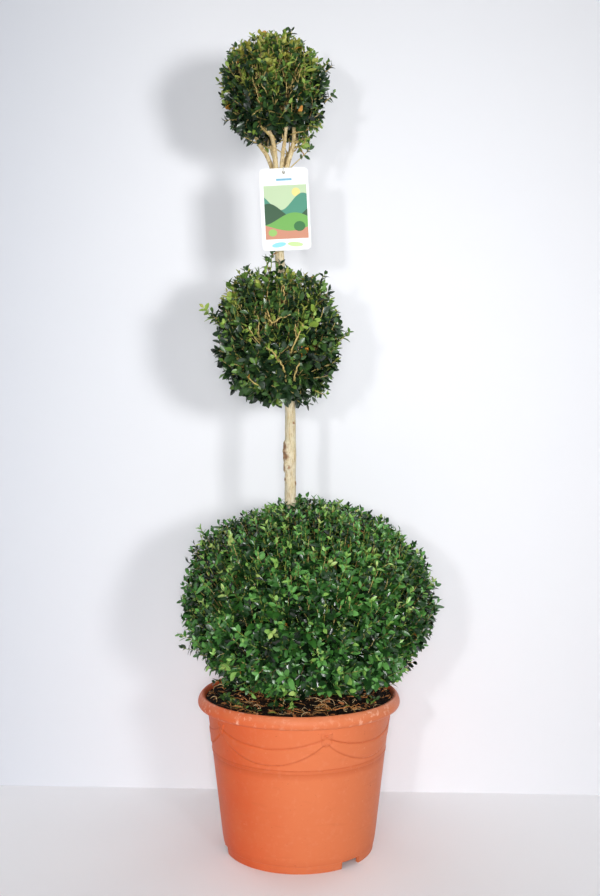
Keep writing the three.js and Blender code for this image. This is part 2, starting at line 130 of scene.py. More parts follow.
def cutAway(piece, cutters):
    # takes the cutters' shapes out of a piece, and then removes the cutters
    pickOnly(cutters[0])
    for cutter in cutters:
        cutter.select_set(True)
    if len(cutters) > 1:
        bpy.ops.object.join()
    cutter = bpy.context.object
    pickOnly(piece)
    cut = piece.modifiers.new("cut", "BOOLEAN")
    cut.operation = "DIFFERENCE"
    cut.solver = "EXACT"
    cut.object = cutter
    bpy.ops.object.modifier_apply(modifier=cut.name)
    bpy.data.objects.remove(cutter)


def spun(name, profile, steps):
    # a closed [radius, height] profile turned round Z
    mesh = bpy.data.meshes.new(name)
    corners = [(radius * mm, 0, height * mm) for radius, height in profile]
    mesh.from_pydata(corners, [(i, i + 1) for i in range(len(corners) - 1)], [])
    piece = addPiece(name, mesh)
    pickOnly(piece)
    bpy.ops.object.mode_set(mode="EDIT")
    bpy.ops.mesh.select_all(action="SELECT")
    bpy.ops.mesh.spin(steps=steps, angle=2 * math.pi, center=(0, 0, 0), axis=(0, 0, 1))
    bpy.ops.mesh.select_all(action="SELECT")
    bpy.ops.mesh.remove_doubles(threshold=1e-6)
    bpy.ops.mesh.normals_make_consistent(inside=False)
    bpy.ops.object.mode_set(mode="OBJECT")
    return piece


def noiseAt(points, size, seed=0.0):
    # smooth noise from about -1 to 1 at points in millimetres, with lumps about size across
    return np.array([noise.noise(Vector(p) / size + Vector((seed, seed, seed))) for p in points])


# Camera and light

photoView = {"place": (0.0015, -1.4798, 0.5893), "tilt": 89.192, "lens": 41.59, "sensor": 36}

studio = {
    "floor": "efeef0",
    "floorSize": 14,
    "wallShadedColours": ("e2e5ec", "f0f1f5"),  # painted shade: darker at its left, and paler beyond
    "wallShadeFade": (-0.5, -0.15),  # between these places along X
    "wallSize": 5,
    "wallPlace": (0, 0.222),  # it stands close behind the plant
    "wallTurn": -2.7,
    "world": (0.95, 0.97, 1.0),
    "worldSeen": 0.86,
    "worldLight": 0.27,
    # name, place, size, watts, the height that it aims at and spread in degrees, of each soft light
    "lights": [
        ("keyRight", (0.8, -1.85, 0.72), 0.28, 3.2, 0.95, 70),
        ("keyLeft", (-0.46, -1.85, 0.76), 0.09, 6.6, 0.9, 180),
        ("front", (0, -1.8, 0.62), 0.25, 3, 0.15, 80),
        ("ceiling", (0.3, -0.9, 2.5), 1.5, 7, 0.6, 180),
        ("backLeft", (-1.9, 2.4, 1.9), 1.4, 14, 0.6, 180),
        ("backRight", (1.9, 2.4, 1.9), 1.4, 14, 0.6, 180),
    ],
}


def plainMaterial(name, code, roughness=0.5, specular=0.5):
    material = bpy.data.materials.new(name)
    material.use_nodes = True
    shader = material.node_tree.nodes["Principled BSDF"]
    shader.inputs["Base Color"].default_value = (*hexColour(code), 1)
    shader.inputs["Roughness"].default_value = roughness
    shader.inputs["Specular IOR Level"].default_value = specular
    return material


def fadeAcross(material, left, right, low, high):
    # one colour fades into another along X
    nodes = material.node_tree.nodes
    links = material.node_tree.links
    place = nodes.new("ShaderNodeTexCoord")
    parts = nodes.new("ShaderNodeSeparateXYZ")
    share = nodes.new("ShaderNodeMapRange")
    share.inputs["From Min"].default_value = low
    share.inputs["From Max"].default_value = high
    colour = nodes.new("ShaderNodeMix")
    colour.data_type = "RGBA"
    colour.inputs[colourA].default_value = (*hexColour(left), 1)
    colour.inputs[colourB].default_value = (*hexColour(right), 1)
    links.new(place.outputs["Object"], parts.inputs["Vector"])
    links.new(parts.outputs["X"], share.inputs["Value"])
    links.new(share.outputs["Result"], colour.inputs["Factor"])
    links.new(colour.outputs[colourResult], nodes["Principled BSDF"].inputs["Base Color"])


def oneSided(material):
    # clear from behind, so that it doesn't hide the plant in views from the back
    nodes = material.node_tree.nodes
    links = material.node_tree.links
    geometry = nodes.new("ShaderNodeNewGeometry")
    clear = nodes.new("ShaderNodeBsdfTransparent")
    choice = nodes.new("ShaderNodeMixShader")
    links.new(geometry.outputs["Backfacing"], choice.inputs["Fac"])
    links.new(nodes["Principled BSDF"].outputs["BSDF"], choice.inputs[1])
    links.new(clear.outputs["BSDF"], choice.inputs[2])
    links.new(choice.outputs["Shader"], nodes["Material Output"].inputs["Surface"])


def placeCamera():
    tilt = math.radians(photoView["tilt"])
    bpy.ops.object.camera_add(location=photoView["place"], rotation=(tilt, 0, 0))
    camera = bpy.context.object
    camera.name = "photoCamera"
    camera.data.lens = photoView["lens"]
    camera.data.sensor_width = photoView["sensor"]
    bpy.context.scene.camera = camera
    bpy.context.scene.view_settings.view_transform = "Standard"


def buildBackdrop():
    bpy.ops.mesh.primitive_plane_add(size=studio["floorSize"], location=(0, 0, 0))
    floor = bpy.context.object
    floor.name = "studioFloor"
    floor.data.materials.append(plainMaterial("floorPaint", studio["floor"], roughness=0.6, specular=0.3))

    middle = (*studio["wallPlace"], studio["wallSize"] / 2)
    turn = (math.pi / 2, 0, math.radians(studio["wallTurn"]))
    bpy.ops.mesh.primitive_plane_add(size=studio["wallSize"], location=middle, rotation=turn)
    wall = bpy.context.object
    wall.name = "studioWall"
    wallPaint = plainMaterial("wallPaint", studio["wallShadedColours"][0], roughness=0.7, specular=0.2)
    # painted shade: the wall is darker to the left
    fadeAcross(wallPaint, *studio["wallShadedColours"], *studio["wallShadeFade"])
    oneSided(wallPaint)
    wall.data.materials.append(wallPaint)
    wall.visible_shadow = False  # the lights behind it reach the plant


def placeLights():
    for name, place, size, watts, height, spread in studio["lights"]:
        aim = Vector((0, 0, height)) - Vector(place)
        turn = aim.to_track_quat("-Z", "Y").to_euler()
        bpy.ops.object.light_add(type="AREA", location=place, rotation=turn)
        light = bpy.context.object
        light.name = name
        light.data.size = size
        light.data.energy = watts
        light.data.spread = math.radians(spread)
        light.visible_camera = False


def makeWorld():
    # light from all round, seen paler than it lights
    world = bpy.data.worlds.new("softWorld")
    world.use_nodes = True
    nodes = world.node_tree.nodes
    rays = nodes.new("ShaderNodeLightPath")
    strength = nodes.new("ShaderNodeMapRange")
    strength.inputs["To Min"].default_value = studio["worldLight"]
    strength.inputs["To Max"].default_value = studio["worldSeen"]
    world.node_tree.links.new(rays.outputs["Is Camera Ray"], strength.inputs["Value"])
    world.node_tree.links.new(strength.outputs["Result"], nodes["Background"].inputs["Strength"])
    nodes["Background"].inputs["Color"].default_value = (*studio["world"], 1)
    bpy.context.scene.world = world


placeCamera()
buildBackdrop()
placeLights()
makeWorld()
print("studio built")

# Surface effects that several materials share


def maskGroup(name, values):
    # a group that reads Vector and some numbers, and gives a mask
    group = bpy.data.node_groups.new(name, "ShaderNodeTree")
    group.interface.new_socket("Vector", in_out="INPUT", socket_type="NodeSocketVector")
    for label, value in values.items():
        socket = group.interface.new_socket(label, in_out="INPUT", socket_type="NodeSocketFloat")
        socket.default_value = value
    group.interface.new_socket("Mask", in_out="OUTPUT", socket_type="NodeSocketFloat")
    return group, group.nodes.new("NodeGroupInput"), group.nodes.new("NodeGroupOutput")


def addLevels(group, source, pattern, result):
    # the pattern becomes 0 at Low and 1 at High
    levels = group.nodes.new("ShaderNodeMapRange")
    group.links.new(pattern.outputs["Fac"], levels.inputs["Value"])
    group.links.new(source.outputs["Low"], levels.inputs["From Min"])
    group.links.new(source.outputs["High"], levels.inputs["From Max"])
    group.links.new(levels.outputs["Result"], result.inputs["Mask"])


def mottleGroup():
    # soft patches
    group, source, result = maskGroup("mottle", {"Scale": 40.0, "Low": 0.4, "High": 0.6})
    patches = group.nodes.new("ShaderNodeTexNoise")
    patches.inputs["Detail"].default_value = 5
    patches.inputs["Roughness"].default_value = 0.6
    group.links.new(source.outputs["Vector"], patches.inputs["Vector"])
    group.links.new(source.outputs["Scale"], patches.inputs["Scale"])
    addLevels(group, source, patches, result)
    return group


def streakGroup():
    # long thin marks that run along Z
    values = {"Across": 300.0, "Along": 20.0, "Low": 0.55, "High": 0.7}
    group, source, result = maskGroup("streaks", values)
    scales = group.nodes.new("ShaderNodeCombineXYZ")
    for axis, label in (("X", "Across"), ("Y", "Across"), ("Z", "Along")):
        group.links.new(source.outputs[label], scales.inputs[axis])
    stretch = group.nodes.new("ShaderNodeVectorMath")
    stretch.operation = "MULTIPLY"
    group.links.new(source.outputs["Vector"], stretch.inputs[0])
    group.links.new(scales.outputs["Vector"], stretch.inputs[1])
    marks = group.nodes.new("ShaderNodeTexNoise")
    marks.inputs["Scale"].default_value = 1
    marks.inputs["Detail"].default_value = 4
    group.links.new(stretch.outputs["Vector"], marks.inputs["Vector"])
    addLevels(group, source, marks, result)
    return group


mottle = mottleGroup()
streaks = streakGroup()


class Finish:
    # a material under construction: colour layers, roughness and a bump on one Principled shader
    def __init__(self, name, code, roughness, specular=0.5):
        self.material = plainMaterial(name, code, roughness, specular)
        self.nodes = self.material.node_tree.nodes
        self.links = self.material.node_tree.links
        self.shader = self.nodes["Principled BSDF"]
        self.place = self.nodes.new("ShaderNodeTexCoord").outputs["Object"]
        self.colour = None
        self.code = code

    def mask(self, group, **values):
        node = self.nodes.new("ShaderNodeGroup")
        node.node_tree = group
        self.links.new(self.place, node.inputs["Vector"])
        for socket, value in values.items():
            node.inputs[socket].default_value = value
        return node.outputs["Mask"]

    def attribute(self, name):
        node = self.nodes.new("ShaderNodeAttribute")
        node.attribute_name = name
        return node.outputs["Fac"]

    def times(self, a, b):
        # a is a socket, and b a socket or a number
        node = self.nodes.new("ShaderNodeMath")
        node.operation = "MULTIPLY"
        self.links.new(a, node.inputs[0])
        if isinstance(b, (int, float)):
            node.inputs[1].default_value = b
        else:
            self.links.new(b, node.inputs[1])
        return node.outputs["Value"]

    def layer(self, mask, code, strength=1.0):
        # paints a colour over what is there, through a mask
        node = self.nodes.new("ShaderNodeMix")
        node.data_type = "RGBA"
        self.links.new(self.times(mask, strength), node.inputs["Factor"])
        if self.colour is None:
            node.inputs[colourA].default_value = (*hexColour(self.code), 1)
        else:
            self.links.new(self.colour, node.inputs[colourA])
        node.inputs[colourB].default_value = (*hexColour(code), 1)
        self.colour = node.outputs[colourResult]
        self.links.new(self.colour, self.shader.inputs["Base Color"])

    def rough(self, mask, low, high):
        node = self.nodes.new("ShaderNodeMapRange")
        node.inputs["To Min"].default_value = low
        node.inputs["To Max"].default_value = high
        self.links.new(mask, node.inputs["Value"])
        self.links.new(node.outputs["Result"], self.shader.inputs["Roughness"])

    def bump(self, height, distance, strength=1.0):
        node = self.nodes.new("ShaderNodeBump")
        node.inputs["Distance"].default_value = distance
        node.inputs["Strength"].default_value = strength
        self.links.new(height, node.inputs["Height"])
        self.links.new(node.outputs["Normal"], self.shader.inputs["Normal"])


# Pot

pot = {
    "height": 220,
    "footRadius": 105.5,
    "footRise": 10,
    "footWidth": 5,
    "kneeRadius": 109.2,
    "kneeHeight": 20,
    "wallTopRadius": 130.8,
    "wall": 2.5,
    "padRadius": 30,
    "padSlope": 6,
    "lipRadius": 144,
    "lipHeight": 17,
    # the lip's round section, inward from its radius and down from its top
    "lip": [
        (3, 17), (1.3, 15.6), (0.4, 14), (0, 12), (0, 10.5), (0.4, 7.8), (1.2, 5.5), (2.6, 2.8), (4.5, 1),
        (5.4, 0.25), (6.6, 0), (7.9, 0.3), (9, 1.2), (9.9, 2.8), (10.4, 5), (10.8, 10),
    ],
    "beadLow": 139.6,
    "beadHigh": 144.2,
    "beadProud": 0.55,
    "beadShadeWidth": 0.7,  # how wide the painted shade beside it is
    "sides": 480,
    "notchCount": 3,
    "notchWidth": 32,
    "notchHeight": 9.6,
    "notchTurn": -48,
    "drainCount": 6,
    "drainRadius": 6,
    "drainCircle": 82,
    "scuffed": [(46, 14), (-34, 11), (-60, 8), (160, 30)],  # turn from the front and width in degrees
    "scuffs": (0.15, 0.85),  # all along the lip, and more in those places
    "wallScuffs": 0.06,
    # painted sheen: the front is painted paler round this turn, standing in for a broad highlight
    "paintedSheenTurn": 34,
}

# cloth swags between bows in low relief, measured down from the lip's foot
swag = {
    "bows": 5,
    "turn": 16.4,  # degrees from the front to a bow
    "bowDrop": 18,
    "gathered": 2.5,  # half its height at a bow
    "top": 30.5,
    "low": 52.3,
    "proud": 0.9,
    "folds": 0.12,
    "edge": 0.5,
    "groove": 0.55,
    "grooveWidth": 0.9,
    "knotRadius": 6.2,
    "knotRound": 1.4,
    "knotWide": 0.9,  # its width as a share of its height
    "knotProud": 1.5,
    "knotHollow": (1.6, 3.6),
    "rimWidth": 0.8,
    # an ear of a bow: its middle from the knot's, its lean in degrees and its half sizes
    "earAside": 5,
    "earRise": 5.2,
    "earLean": 38,
    "earSizes": (4.8, 2.6),
}
lipFoot = pot["height"] - pot["lipHeight"]


def wallRadius(height):
    # the outside radius of the wall below the lip
    low = mix(pot["footRadius"], pot["kneeRadius"], height / pot["kneeHeight"])
    share = (height - pot["kneeHeight"]) / (lipFoot - pot["kneeHeight"])
    high = mix(pot["kneeRadius"], pot["wallTopRadius"], share)
    return np.where(height < pot["kneeHeight"], low, high)


def outerRadius(height):
    return float(wallRadius(height))


def innerRadius(height):
    return outerRadius(height) - pot["wall"]


def ridge(distance, width):
    # 1 on a line, and less away from it
    return np.exp(-((distance / width) ** 2))


def bowRelief(across, down):
    # a bow's height from 0 to 1, and the groove round its knot, at places from its middle
    high = down * swag["knotWide"]
    fromKnot = np.hypot(across, high - 1)
    knot = 1 - smoothStep(fromKnot, swag["knotRadius"] - swag["knotRound"], swag["knotRadius"])
    hollow = 1 - smoothStep(np.hypot(across, high + 0.2), *swag["knotHollow"])
    rim = ridge(fromKnot - swag["knotRadius"] - swag["rimWidth"], swag["rimWidth"])
    ears = np.zeros_like(across)
    for side in (-1, 1):
        lean = math.radians(swag["earLean"] * side)
        away = across - side * swag["earAside"]
        rise = down + swag["earRise"]
        longWay = (away * math.sin(lean) - rise * math.cos(lean)) / swag["earSizes"][0]
        shortWay = (away * math.cos(lean) + rise * math.sin(lean)) / swag["earSizes"][1]
        ears = np.maximum(ears, 1 - smoothStep(np.hypot(longWay, shortWay), 0.7, 1.0))
    return np.maximum(knot * (1 - 0.5 * hollow), 0.8 * ears), rim


def potRelief(turn, height):
    # how far the swags and bows stand out at a turn in degrees from the front, and a mask of their grooves
    # where shade is painted
    apart = 360 / swag["bows"]
    along = ((turn - swag["turn"]) / apart) % 1.0
    fall = lipFoot - height
    sag = 4 * along * (1 - along)
    top = mix(swag["bowDrop"] - swag["gathered"], swag["top"], sag**0.9)
    low = mix(swag["bowDrop"] + swag["gathered"], swag["low"], sag**0.85)
    edge = swag["edge"]
    cloth = smoothStep(fall, top - edge, top + edge) * (1 - smoothStep(fall, low - edge, low + edge))
    folds = swag["folds"] * np.sin((fall - top) / np.maximum(low - top, 1) * 3 * math.pi)
    width = swag["grooveWidth"]
    crease = ridge(fall - top + width, width) + ridge(fall - low - width, width)
    relief = swag["proud"] * cloth * (1 + folds) - swag["groove"] * crease
    ahead = (along + 0.5) % 1.0 - 0.5
    bow, rim = bowRelief(np.radians(ahead * apart) * pot["wallTopRadius"], fall - swag["bowDrop"])
    relief = np.where(bow > 0.02, bow * swag["knotProud"], relief - 0.4 * swag["groove"] * rim)
    return relief, np.clip(crease + 0.8 * rim * (bow < 0.5), 0, 1)


def potProfile():
    # from the middle of the underside outwards, up the wall, over the lip and down inside
    pad, thick, rise = pot["padRadius"], pot["wall"], pot["footRise"]
    floorTop = rise + thick
    footInside = pot["footRadius"] - pot["footWidth"]
    beadLow, beadHigh, proud = pot["beadLow"], pot["beadHigh"], pot["beadProud"]
    profile = [(0, 0), (pad, 0), (pad + pot["padSlope"], rise), (footInside, rise)]
    profile += [(footInside, 0), (pot["footRadius"] - 0.4, 0), (pot["footRadius"], 0.6)]
    profile += [(outerRadius(rise) - 0.6, rise), (outerRadius(rise) + 0.2, rise + 0.8)]
    profile += [(outerRadius(height), height) for height in np.linspace(pot["kneeHeight"], beadLow, 14)]
    profile += [(outerRadius(beadLow) + proud, beadLow + 0.6)]
    profile += [(outerRadius(beadHigh) + proud, beadHigh - 0.6)]
    profile += [(outerRadius(height), height) for height in np.linspace(beadHigh, lipFoot, 48)]
    profile += [(pot["lipRadius"] - inward, pot["height"] - down) for inward, down in pot["lip"]]
    profile += [(innerRadius(lipFoot), lipFoot), (innerRadius(floorTop), floorTop)]
    profile += [(pad + pot["padSlope"] / 2, floorTop), (pad - pot["padSlope"] / 2, thick), (0, thick)]
    return profile


def cutPot(piece):
    # the notches in the foot ring and the drain holes
    cutters = []
    for i in range(pot["notchCount"]):
        turn = math.radians(pot["notchTurn"] + i * 360 / pot["notchCount"])
        middle = (pot["footRadius"] - pot["footWidth"] / 2) * mm
        place = (middle * math.cos(turn), middle * math.sin(turn), 0)
        bpy.ops.mesh.primitive_cube_add(size=1, location=place, rotation=(0, 0, turn))
        bpy.context.object.scale = (20 * mm, pot["notchWidth"] * mm, 2 * pot["notchHeight"] * mm)
        cutters.append(bpy.context.object)
    for i in range(pot["drainCount"]):
        turn = math.radians((i + 0.5) * 360 / pot["drainCount"])
        middle = pot["drainCircle"] * mm
        floorMiddle = (pot["footRise"] + 1.2) * mm
        bpy.ops.mesh.primitive_cylinder_add(
            vertices=24,
            radius=pot["drainRadius"] * mm,
            depth=8 * mm,
            location=(middle * math.cos(turn), middle * math.sin(turn), floorMiddle),
        )
        cutters.append(bpy.context.object)
    cutAway(piece, cutters)


potColours = {
    "plastic": "d35a2f",
    # a paler colour painted on the front as a sheen
    "paintedSheen": "cf744b",
    "patches": "d5784c",
    "rubs": "b9603a",
    # a darker colour painted into the grooves as shade
    "creaseShade": "b04a24",
    # partly dust, partly a painted sheen on the top of the lip
    "lipDustAndSheen": "e29c78",
    "scuffs": "f0bda2",
    "specks": "a04c2a",
    "splashes": "e9b08c",
}


def potPlastic():
    made = Finish("potPlastic", potColours["plastic"], 0.42, 0.12)
    patches = made.mask(mottle, Scale=14.0, Low=0.35, High=0.7)
    fine = made.mask(mottle, Scale=900.0, Low=0.3, High=0.7)
    scuffs = made.mask(mottle, Scale=130.0, Low=0.54, High=0.68)
    specks = made.mask(mottle, Scale=210.0, Low=0.68, High=0.72)
    rubs = made.mask(streaks, Across=26.0, Along=170.0, Low=0.6, High=0.8)
    splashes = made.mask(mottle, Scale=320.0, Low=0.7, High=0.74)
    dustAndSheenPatches = made.mask(mottle, Scale=46.0, Low=0.25, High=0.75)
    # painted sheen: the side that faces the lights is painted paler
    made.layer(made.attribute("paintedSheen"), potColours["paintedSheen"], 0.9)
    made.layer(patches, potColours["patches"], 0.4)
    made.layer(rubs, potColours["rubs"], 0.3)
    # painted shade in the grooves of the swags and bows, beside the beads and at the foot
    made.layer(made.attribute("crease"), potColours["creaseShade"], 0.45)
    # partly dust, partly a painted sheen: the top of the lip is painted paler, in patches
    made.layer(made.times(dustAndSheenPatches, made.attribute("lipDustAndSheen")), potColours["lipDustAndSheen"], 0.35)
    made.layer(made.times(scuffs, made.attribute("worn")), potColours["scuffs"], 0.75)
    made.layer(specks, potColours["specks"], 0.5)
    made.layer(splashes, potColours["splashes"], 0.5)
    made.rough(patches, 0.36, 0.5)
    made.bump(fine, 0.12 * mm, 0.5)
    return made.material


def potPlaces(piece):
    # the points of the pot, with their radius and their turn in degrees from the front
    points = meshPoints(piece)
    radius = np.hypot(points[:, 0], points[:, 1])
    return points, radius, np.degrees(np.arctan2(points[:, 0], -points[:, 1]))


def carvePot(piece):
    points, radius, turn = potPlaces(piece)
    height = points[:, 2].copy()
    outside = radius > wallRadius(height) - 0.5
    carved = outside & (height > pot["beadHigh"] + 0.5) & (height < lipFoot - 0.5)
    relief, creaseShade = potRelief(turn, height)
    points[:, :2] *= (1 + np.where(carved, relief, 0) / np.maximum(radius, 1))[:, None]
    setMeshPoints(piece, points)
    # painted shade beside the beads and at the foot step, and in the grooves of the swags and bows
    beadShade = sum(ridge(height - pot[edge], pot["beadShadeWidth"]) for edge in ("beadLow", "beadHigh"))
    beadShade += 0.8 * ridge(height - pot["footRise"], 0.8)
    paintPoints(piece, "crease", np.where(carved, creaseShade, beadShade * outside))


def wearPot(piece):
    # handling has scuffed the lip most, a painted sheen makes the front paler where the lights fall, and
    # dust with a painted sheen makes the top of the lip paler
    points, radius, turn = potPlaces(piece)
    lip = smoothStep(radius, pot["lipRadius"] - 12, pot["lipRadius"] - 3)
    places = np.zeros(len(points))
    for at, wide in pot["scuffed"]:
        places += ridge((turn - at + 180) % 360 - 180, wide)
    everywhere, inPlaces = pot["scuffs"]
    paintPoints(piece, "worn", lip * (everywhere + inPlaces * places) + pot["wallScuffs"])
    # painted sheen: paler towards the front, where the lights fall
    facingSheen = np.cos(np.radians(turn - pot["paintedSheenTurn"]))
    paintPoints(piece, "paintedSheen", smoothStep(facingSheen, 0.15, 0.95))
    # partly dust, partly a painted sheen: the upward-facing top of the lip
    paintPoints(piece, "lipDustAndSheen", lip * smoothStep(points[:, 2], pot["height"] - 12, pot["height"] - 3))


def buildPot():
    piece = spun("potShell", potProfile(), pot["sides"])
    carvePot(piece)
    cutPot(piece)
    wearPot(piece)
    piece.data.materials.append(potPlastic())
    pickOnly(piece)
    bpy.ops.object.shade_smooth_by_angle(angle=math.radians(28))
    finish(piece, "pot_plastic", "pot")


buildPot()
print("pot built")

# Surface of the soil, which the foliage keeps above

soil = {
    "edgeHeight": 211,
    "edgeRadius": 132.8,
    "edgeRise": 3.5,  # it is banked up a little along the wall, between these radii
    "bank": (84, 116),
    "heartHeight": 214,
    "heartRadius": 26,
    "lump": 1.7,
    "gap": 0.42,  # between the soil and the wall
    "floorGap": 0.3,
    "rings": 58,
    "sides": 300,
}


def soilHeight(radius):
    # level in the middle, then it falls evenly to the wall
    slope = innerRadius(lipFoot) - soil["heartRadius"]
    share = np.clip((radius - soil["heartRadius"]) / slope, 0, 1)
    return mix(soil["heartHeight"], soil["edgeHeight"], share)


def soilLumps(x, y):
    flat = np.stack([x, y, np.zeros_like(x)], axis=1)
    coarse, middle, fine = [noiseAt(flat, size, seed) for size, seed in ((24, 1.0), (8, 5.0), (3.2, 9.0))]
    edge = soil["edgeRise"] * smoothStep(np.hypot(x, y), *soil["bank"])
    return edge + soil["lump"] * (1.2 * coarse + 0.9 * middle + 0.5 * fine)


# Stem and boughs, by the source's lines

trunk = {
    "line": [
        (-1, 0, 212), (-4, 1.5, 300), (-9, 2, 400), (-12.1, 0.5, 487), (-12.1, -1, 560), (-12.6, -1, 630),
        (-17, 0, 700), (-23.5, 1, 780), (-27.3, 0.5, 835), (-28.5, 0, 900), (-28.5, 0, 950.2),
    ],
    "footRadius": 9.5,
    "topRadius": 6.3,
    "flare": 7.5,
    "flareHeight": 13,
    "head": 4.6,
    "headHeight": 16,
    "sides": 40,
    "steps": 420,
    # the bark's relief: height and width of its lumps, and their width as a share of their length
    "grain": (0.35, 2.6, 0.12),
    "swells": (0.7, 9, 0.3),
    # pruned shoots: height, turn in degrees from the front, radius
    "scars": [
        (571, -66, 6.6), (557, -58, 7.4), (541, -76, 5.6), (541, -12, 3.0), (524, -60, 3.0), (604, 34, 2.6),
        (518, 60, 3.2), (612, 150, 4.5), (551, 200, 4.8), (873, -35, 3.6), (908, 60, 3.2), (884, 170, 4.4),
    ],
}

bough = {
    "taper": 0.36,
    "thicker": 0.02,
    "swelling": 0.35,  # of the limbs where they leave the head of the stem
    "sides": 14,
    "steps": 60,
    "grain": (0.35, 2.4),
    "swells": (0.8, 7),
}

topBoughs = [
    (3.2, [(-36, 1), (-45, 2, 984), (-57, 2, 1002), (-66, 2, 1026), (-64, 1, 1056)]),
    (3.9, [(-32.7, -5.7), (-34, -9, 984), (-37, -14, 1003), (-46, -20, 1024), (-50, -24, 1050)]),
    (3.1, [(-25.5, -6.5), (-22.5, -12, 987), (-19, -18, 1008), (-18, -24, 1030), (-20, -30, 1052)]),
    (3.7, [(-21.2, 0), (-12.5, -3, 983), (-7, -5, 1004), (-8, -6, 1028), (-14, -7, 1056)]),
    (3.0, [(-24.4, 6.2), (-17, 14, 986), (-8, 23, 1008), (0, 28, 1032), (-4, 26, 1058)]),
    (3.0, [(-32.2, 6.4), (-36, 14, 986), (-43, 24, 1008), (-50, 32, 1032), (-48, 28, 1058)]),
]

# turn in degrees, height on the stem, how far out, height of the end, radius
middleBoughs = [
    (178, 636, 42, 682, 2.4),
    (112, 645, 38, 682, 2.6),
    (40, 640, 40, 682, 2.4),
    (-28, 646, 36, 682, 2.6),
    (-100, 640, 38, 682, 2.4),
]


def curveThrough(points, count):
    # even points along a centripetal Catmull-Rom curve
    points = np.array(points, float)
    padded = np.vstack([2 * points[0] - points[1], points, 2 * points[-1] - points[-2]])
    share = np.linspace(0, 1, 25)[:-1, None]
    pieces = []
    for i in range(len(points) - 1):
        a, b, c, d = padded[i : i + 4]
        before, here, after = [np.linalg.norm(q - p) ** 0.5 for p, q in ((a, b), (b, c), (c, d))]
        leave = ((b - a) / before - (c - a) / (before + here) + (c - b) / here) * here
        arrive = ((c - b) / here - (d - b) / (here + after) + (d - c) / after) * here
        square = 3 * (c - b) - 2 * leave - arrive
        cube = 2 * (b - c) + leave + arrive
        pieces.append(b + leave * share + square * share**2 + cube * share**3)
    line = np.vstack([*pieces, points[-1:]])
    walked = np.concatenate([[0], np.cumsum(np.linalg.norm(np.diff(line, axis=0), axis=1))])
    marks = np.linspace(0, walked[-1], count)
    return np.stack([np.interp(marks, walked, line[:, k]) for k in range(3)], axis=1)


trunkLine = curveThrough(trunk["line"], trunk["steps"])
trunkLength = np.linalg.norm(np.diff(trunkLine, axis=0), axis=1).sum()


def trunkRadius(share):
    taper = mix(trunk["footRadius"], trunk["topRadius"], share)
    flare = trunk["flare"] * np.exp(-share * trunkLength / trunk["flareHeight"])
    head = trunk["head"] * np.exp(-(1 - share) * trunkLength / trunk["headHeight"])
    return taper + flare + head


trunkRadii = trunkRadius(np.linspace(0, 1, trunk["steps"]))


def stemAt(heights):
    # the middle of the stem and its radius at some heights
    x, y, radius = [np.interp(heights, trunkLine[:, 2], v) for v in (*trunkLine[:, :2].T, trunkRadii)]
    z = np.clip(heights, trunkLine[0, 2], trunkLine[-1, 2])
    return np.stack([x, y, z], axis=-1), radius


def middleBoughLine(turn, start, out, end, radius):
    # from inside the stem, out and up to its end
    way = np.array([math.cos(math.radians(turn)), math.sin(math.radians(turn)), 0])
    root, stemRadius = stemAt(start)
    stations = [
        (stemRadius - 1, start - 1.5),
        (stemRadius + 0.3 + 1.3 * radius, start),
        (out * 0.62, mix(start, end, 0.26)),
        (out * 0.94, mix(start, end, 0.6)),
        (out, end),
    ]
    return [(*(root + way * distance)[:2], height) for distance, height in stations]


def boughPlan():
    # name, line, radius at the foot and the ball that it carries
    headTop = trunk["line"][-1][2] + 0.3
    plans = []
    for i, (radius, line) in enumerate(topBoughs):
        foot = [(*line[0], headTop - 3), (*line[0], headTop + 6)]
        plans.append((f"bough_top_{i + 1}", [*foot, *line[1:]], radius, "top"))
    for i, limb in enumerate(middleBoughs):
        plans.append((f"bough_middle_{i + 1}", middleBoughLine(*limb), limb[-1], "middle"))
    return plans


def tubes(paths, radii, sides):
    # many round limbs at once: paths is limbs x steps x 3, and radii is limbs x steps
    count, steps, _ = paths.shape
    along = unit(np.gradient(paths, axis=1))
    steep = np.abs(unit(paths[:, -1] - paths[:, 0])[:, 2]) > 0.8
    start = np.where(steep[:, None], [1.0, 0.0, 0.0], up)[:, None, :]
    side = unit(np.cross(along, start))
    over = np.cross(side, along)
    turn = np.arange(sides) * 2 * math.pi / sides
    ring = side[:, :, None] * np.cos(turn)[:, None] + over[:, :, None] * np.sin(turn)[:, None]
    points = (paths[:, :, None] + ring * radii[:, :, None, None]).reshape(-1, 3)
    step, j = np.meshgrid(np.arange(steps - 1) * sides, np.arange(sides), indexing="ij")
    following = (j + 1) % sides
    first = np.stack([step + j, step + sides + j, step + sides + following], axis=-1).reshape(-1, 3)
    second = np.stack([step + j, step + sides + following, step + following], axis=-1).reshape(-1, 3)
    fan = np.array([[0, k, k + 1] for k in range(1, sides - 1)])
    last = (steps - 1) * sides
    faces = np.vstack([first, second, fan, last + fan[:, ::-1]])
    corners = (np.arange(count)[:, None, None] * steps * sides + faces[None]).reshape(-1, 3)
    return points, corners


def joined(parts):
    # several [points, corners, slots] lists as one
    points, corners, slots = [], [], []
    start = 0
    for some, faces, slot in parts:
        points.append(some)
        corners.append(faces + start)
        slots.append(np.broadcast_to(slot, (len(faces),)))
        start += len(some)
    return np.vstack(points), np.vstack(corners), np.concatenate(slots)


barks = {
    "stem": {"base": "dbd2ba", "patches": "d0be93", "lines": "b89760", "specks": 0.14},
    "bough": {"base": "dfcea4", "patches": "b99a5c", "lines": "9a733a", "specks": 0.8},
}
barkMarks = {"green": "b4b088", "cracks": "8a6b41", "specks": "7c5c34", "scar": "8a5b34"}


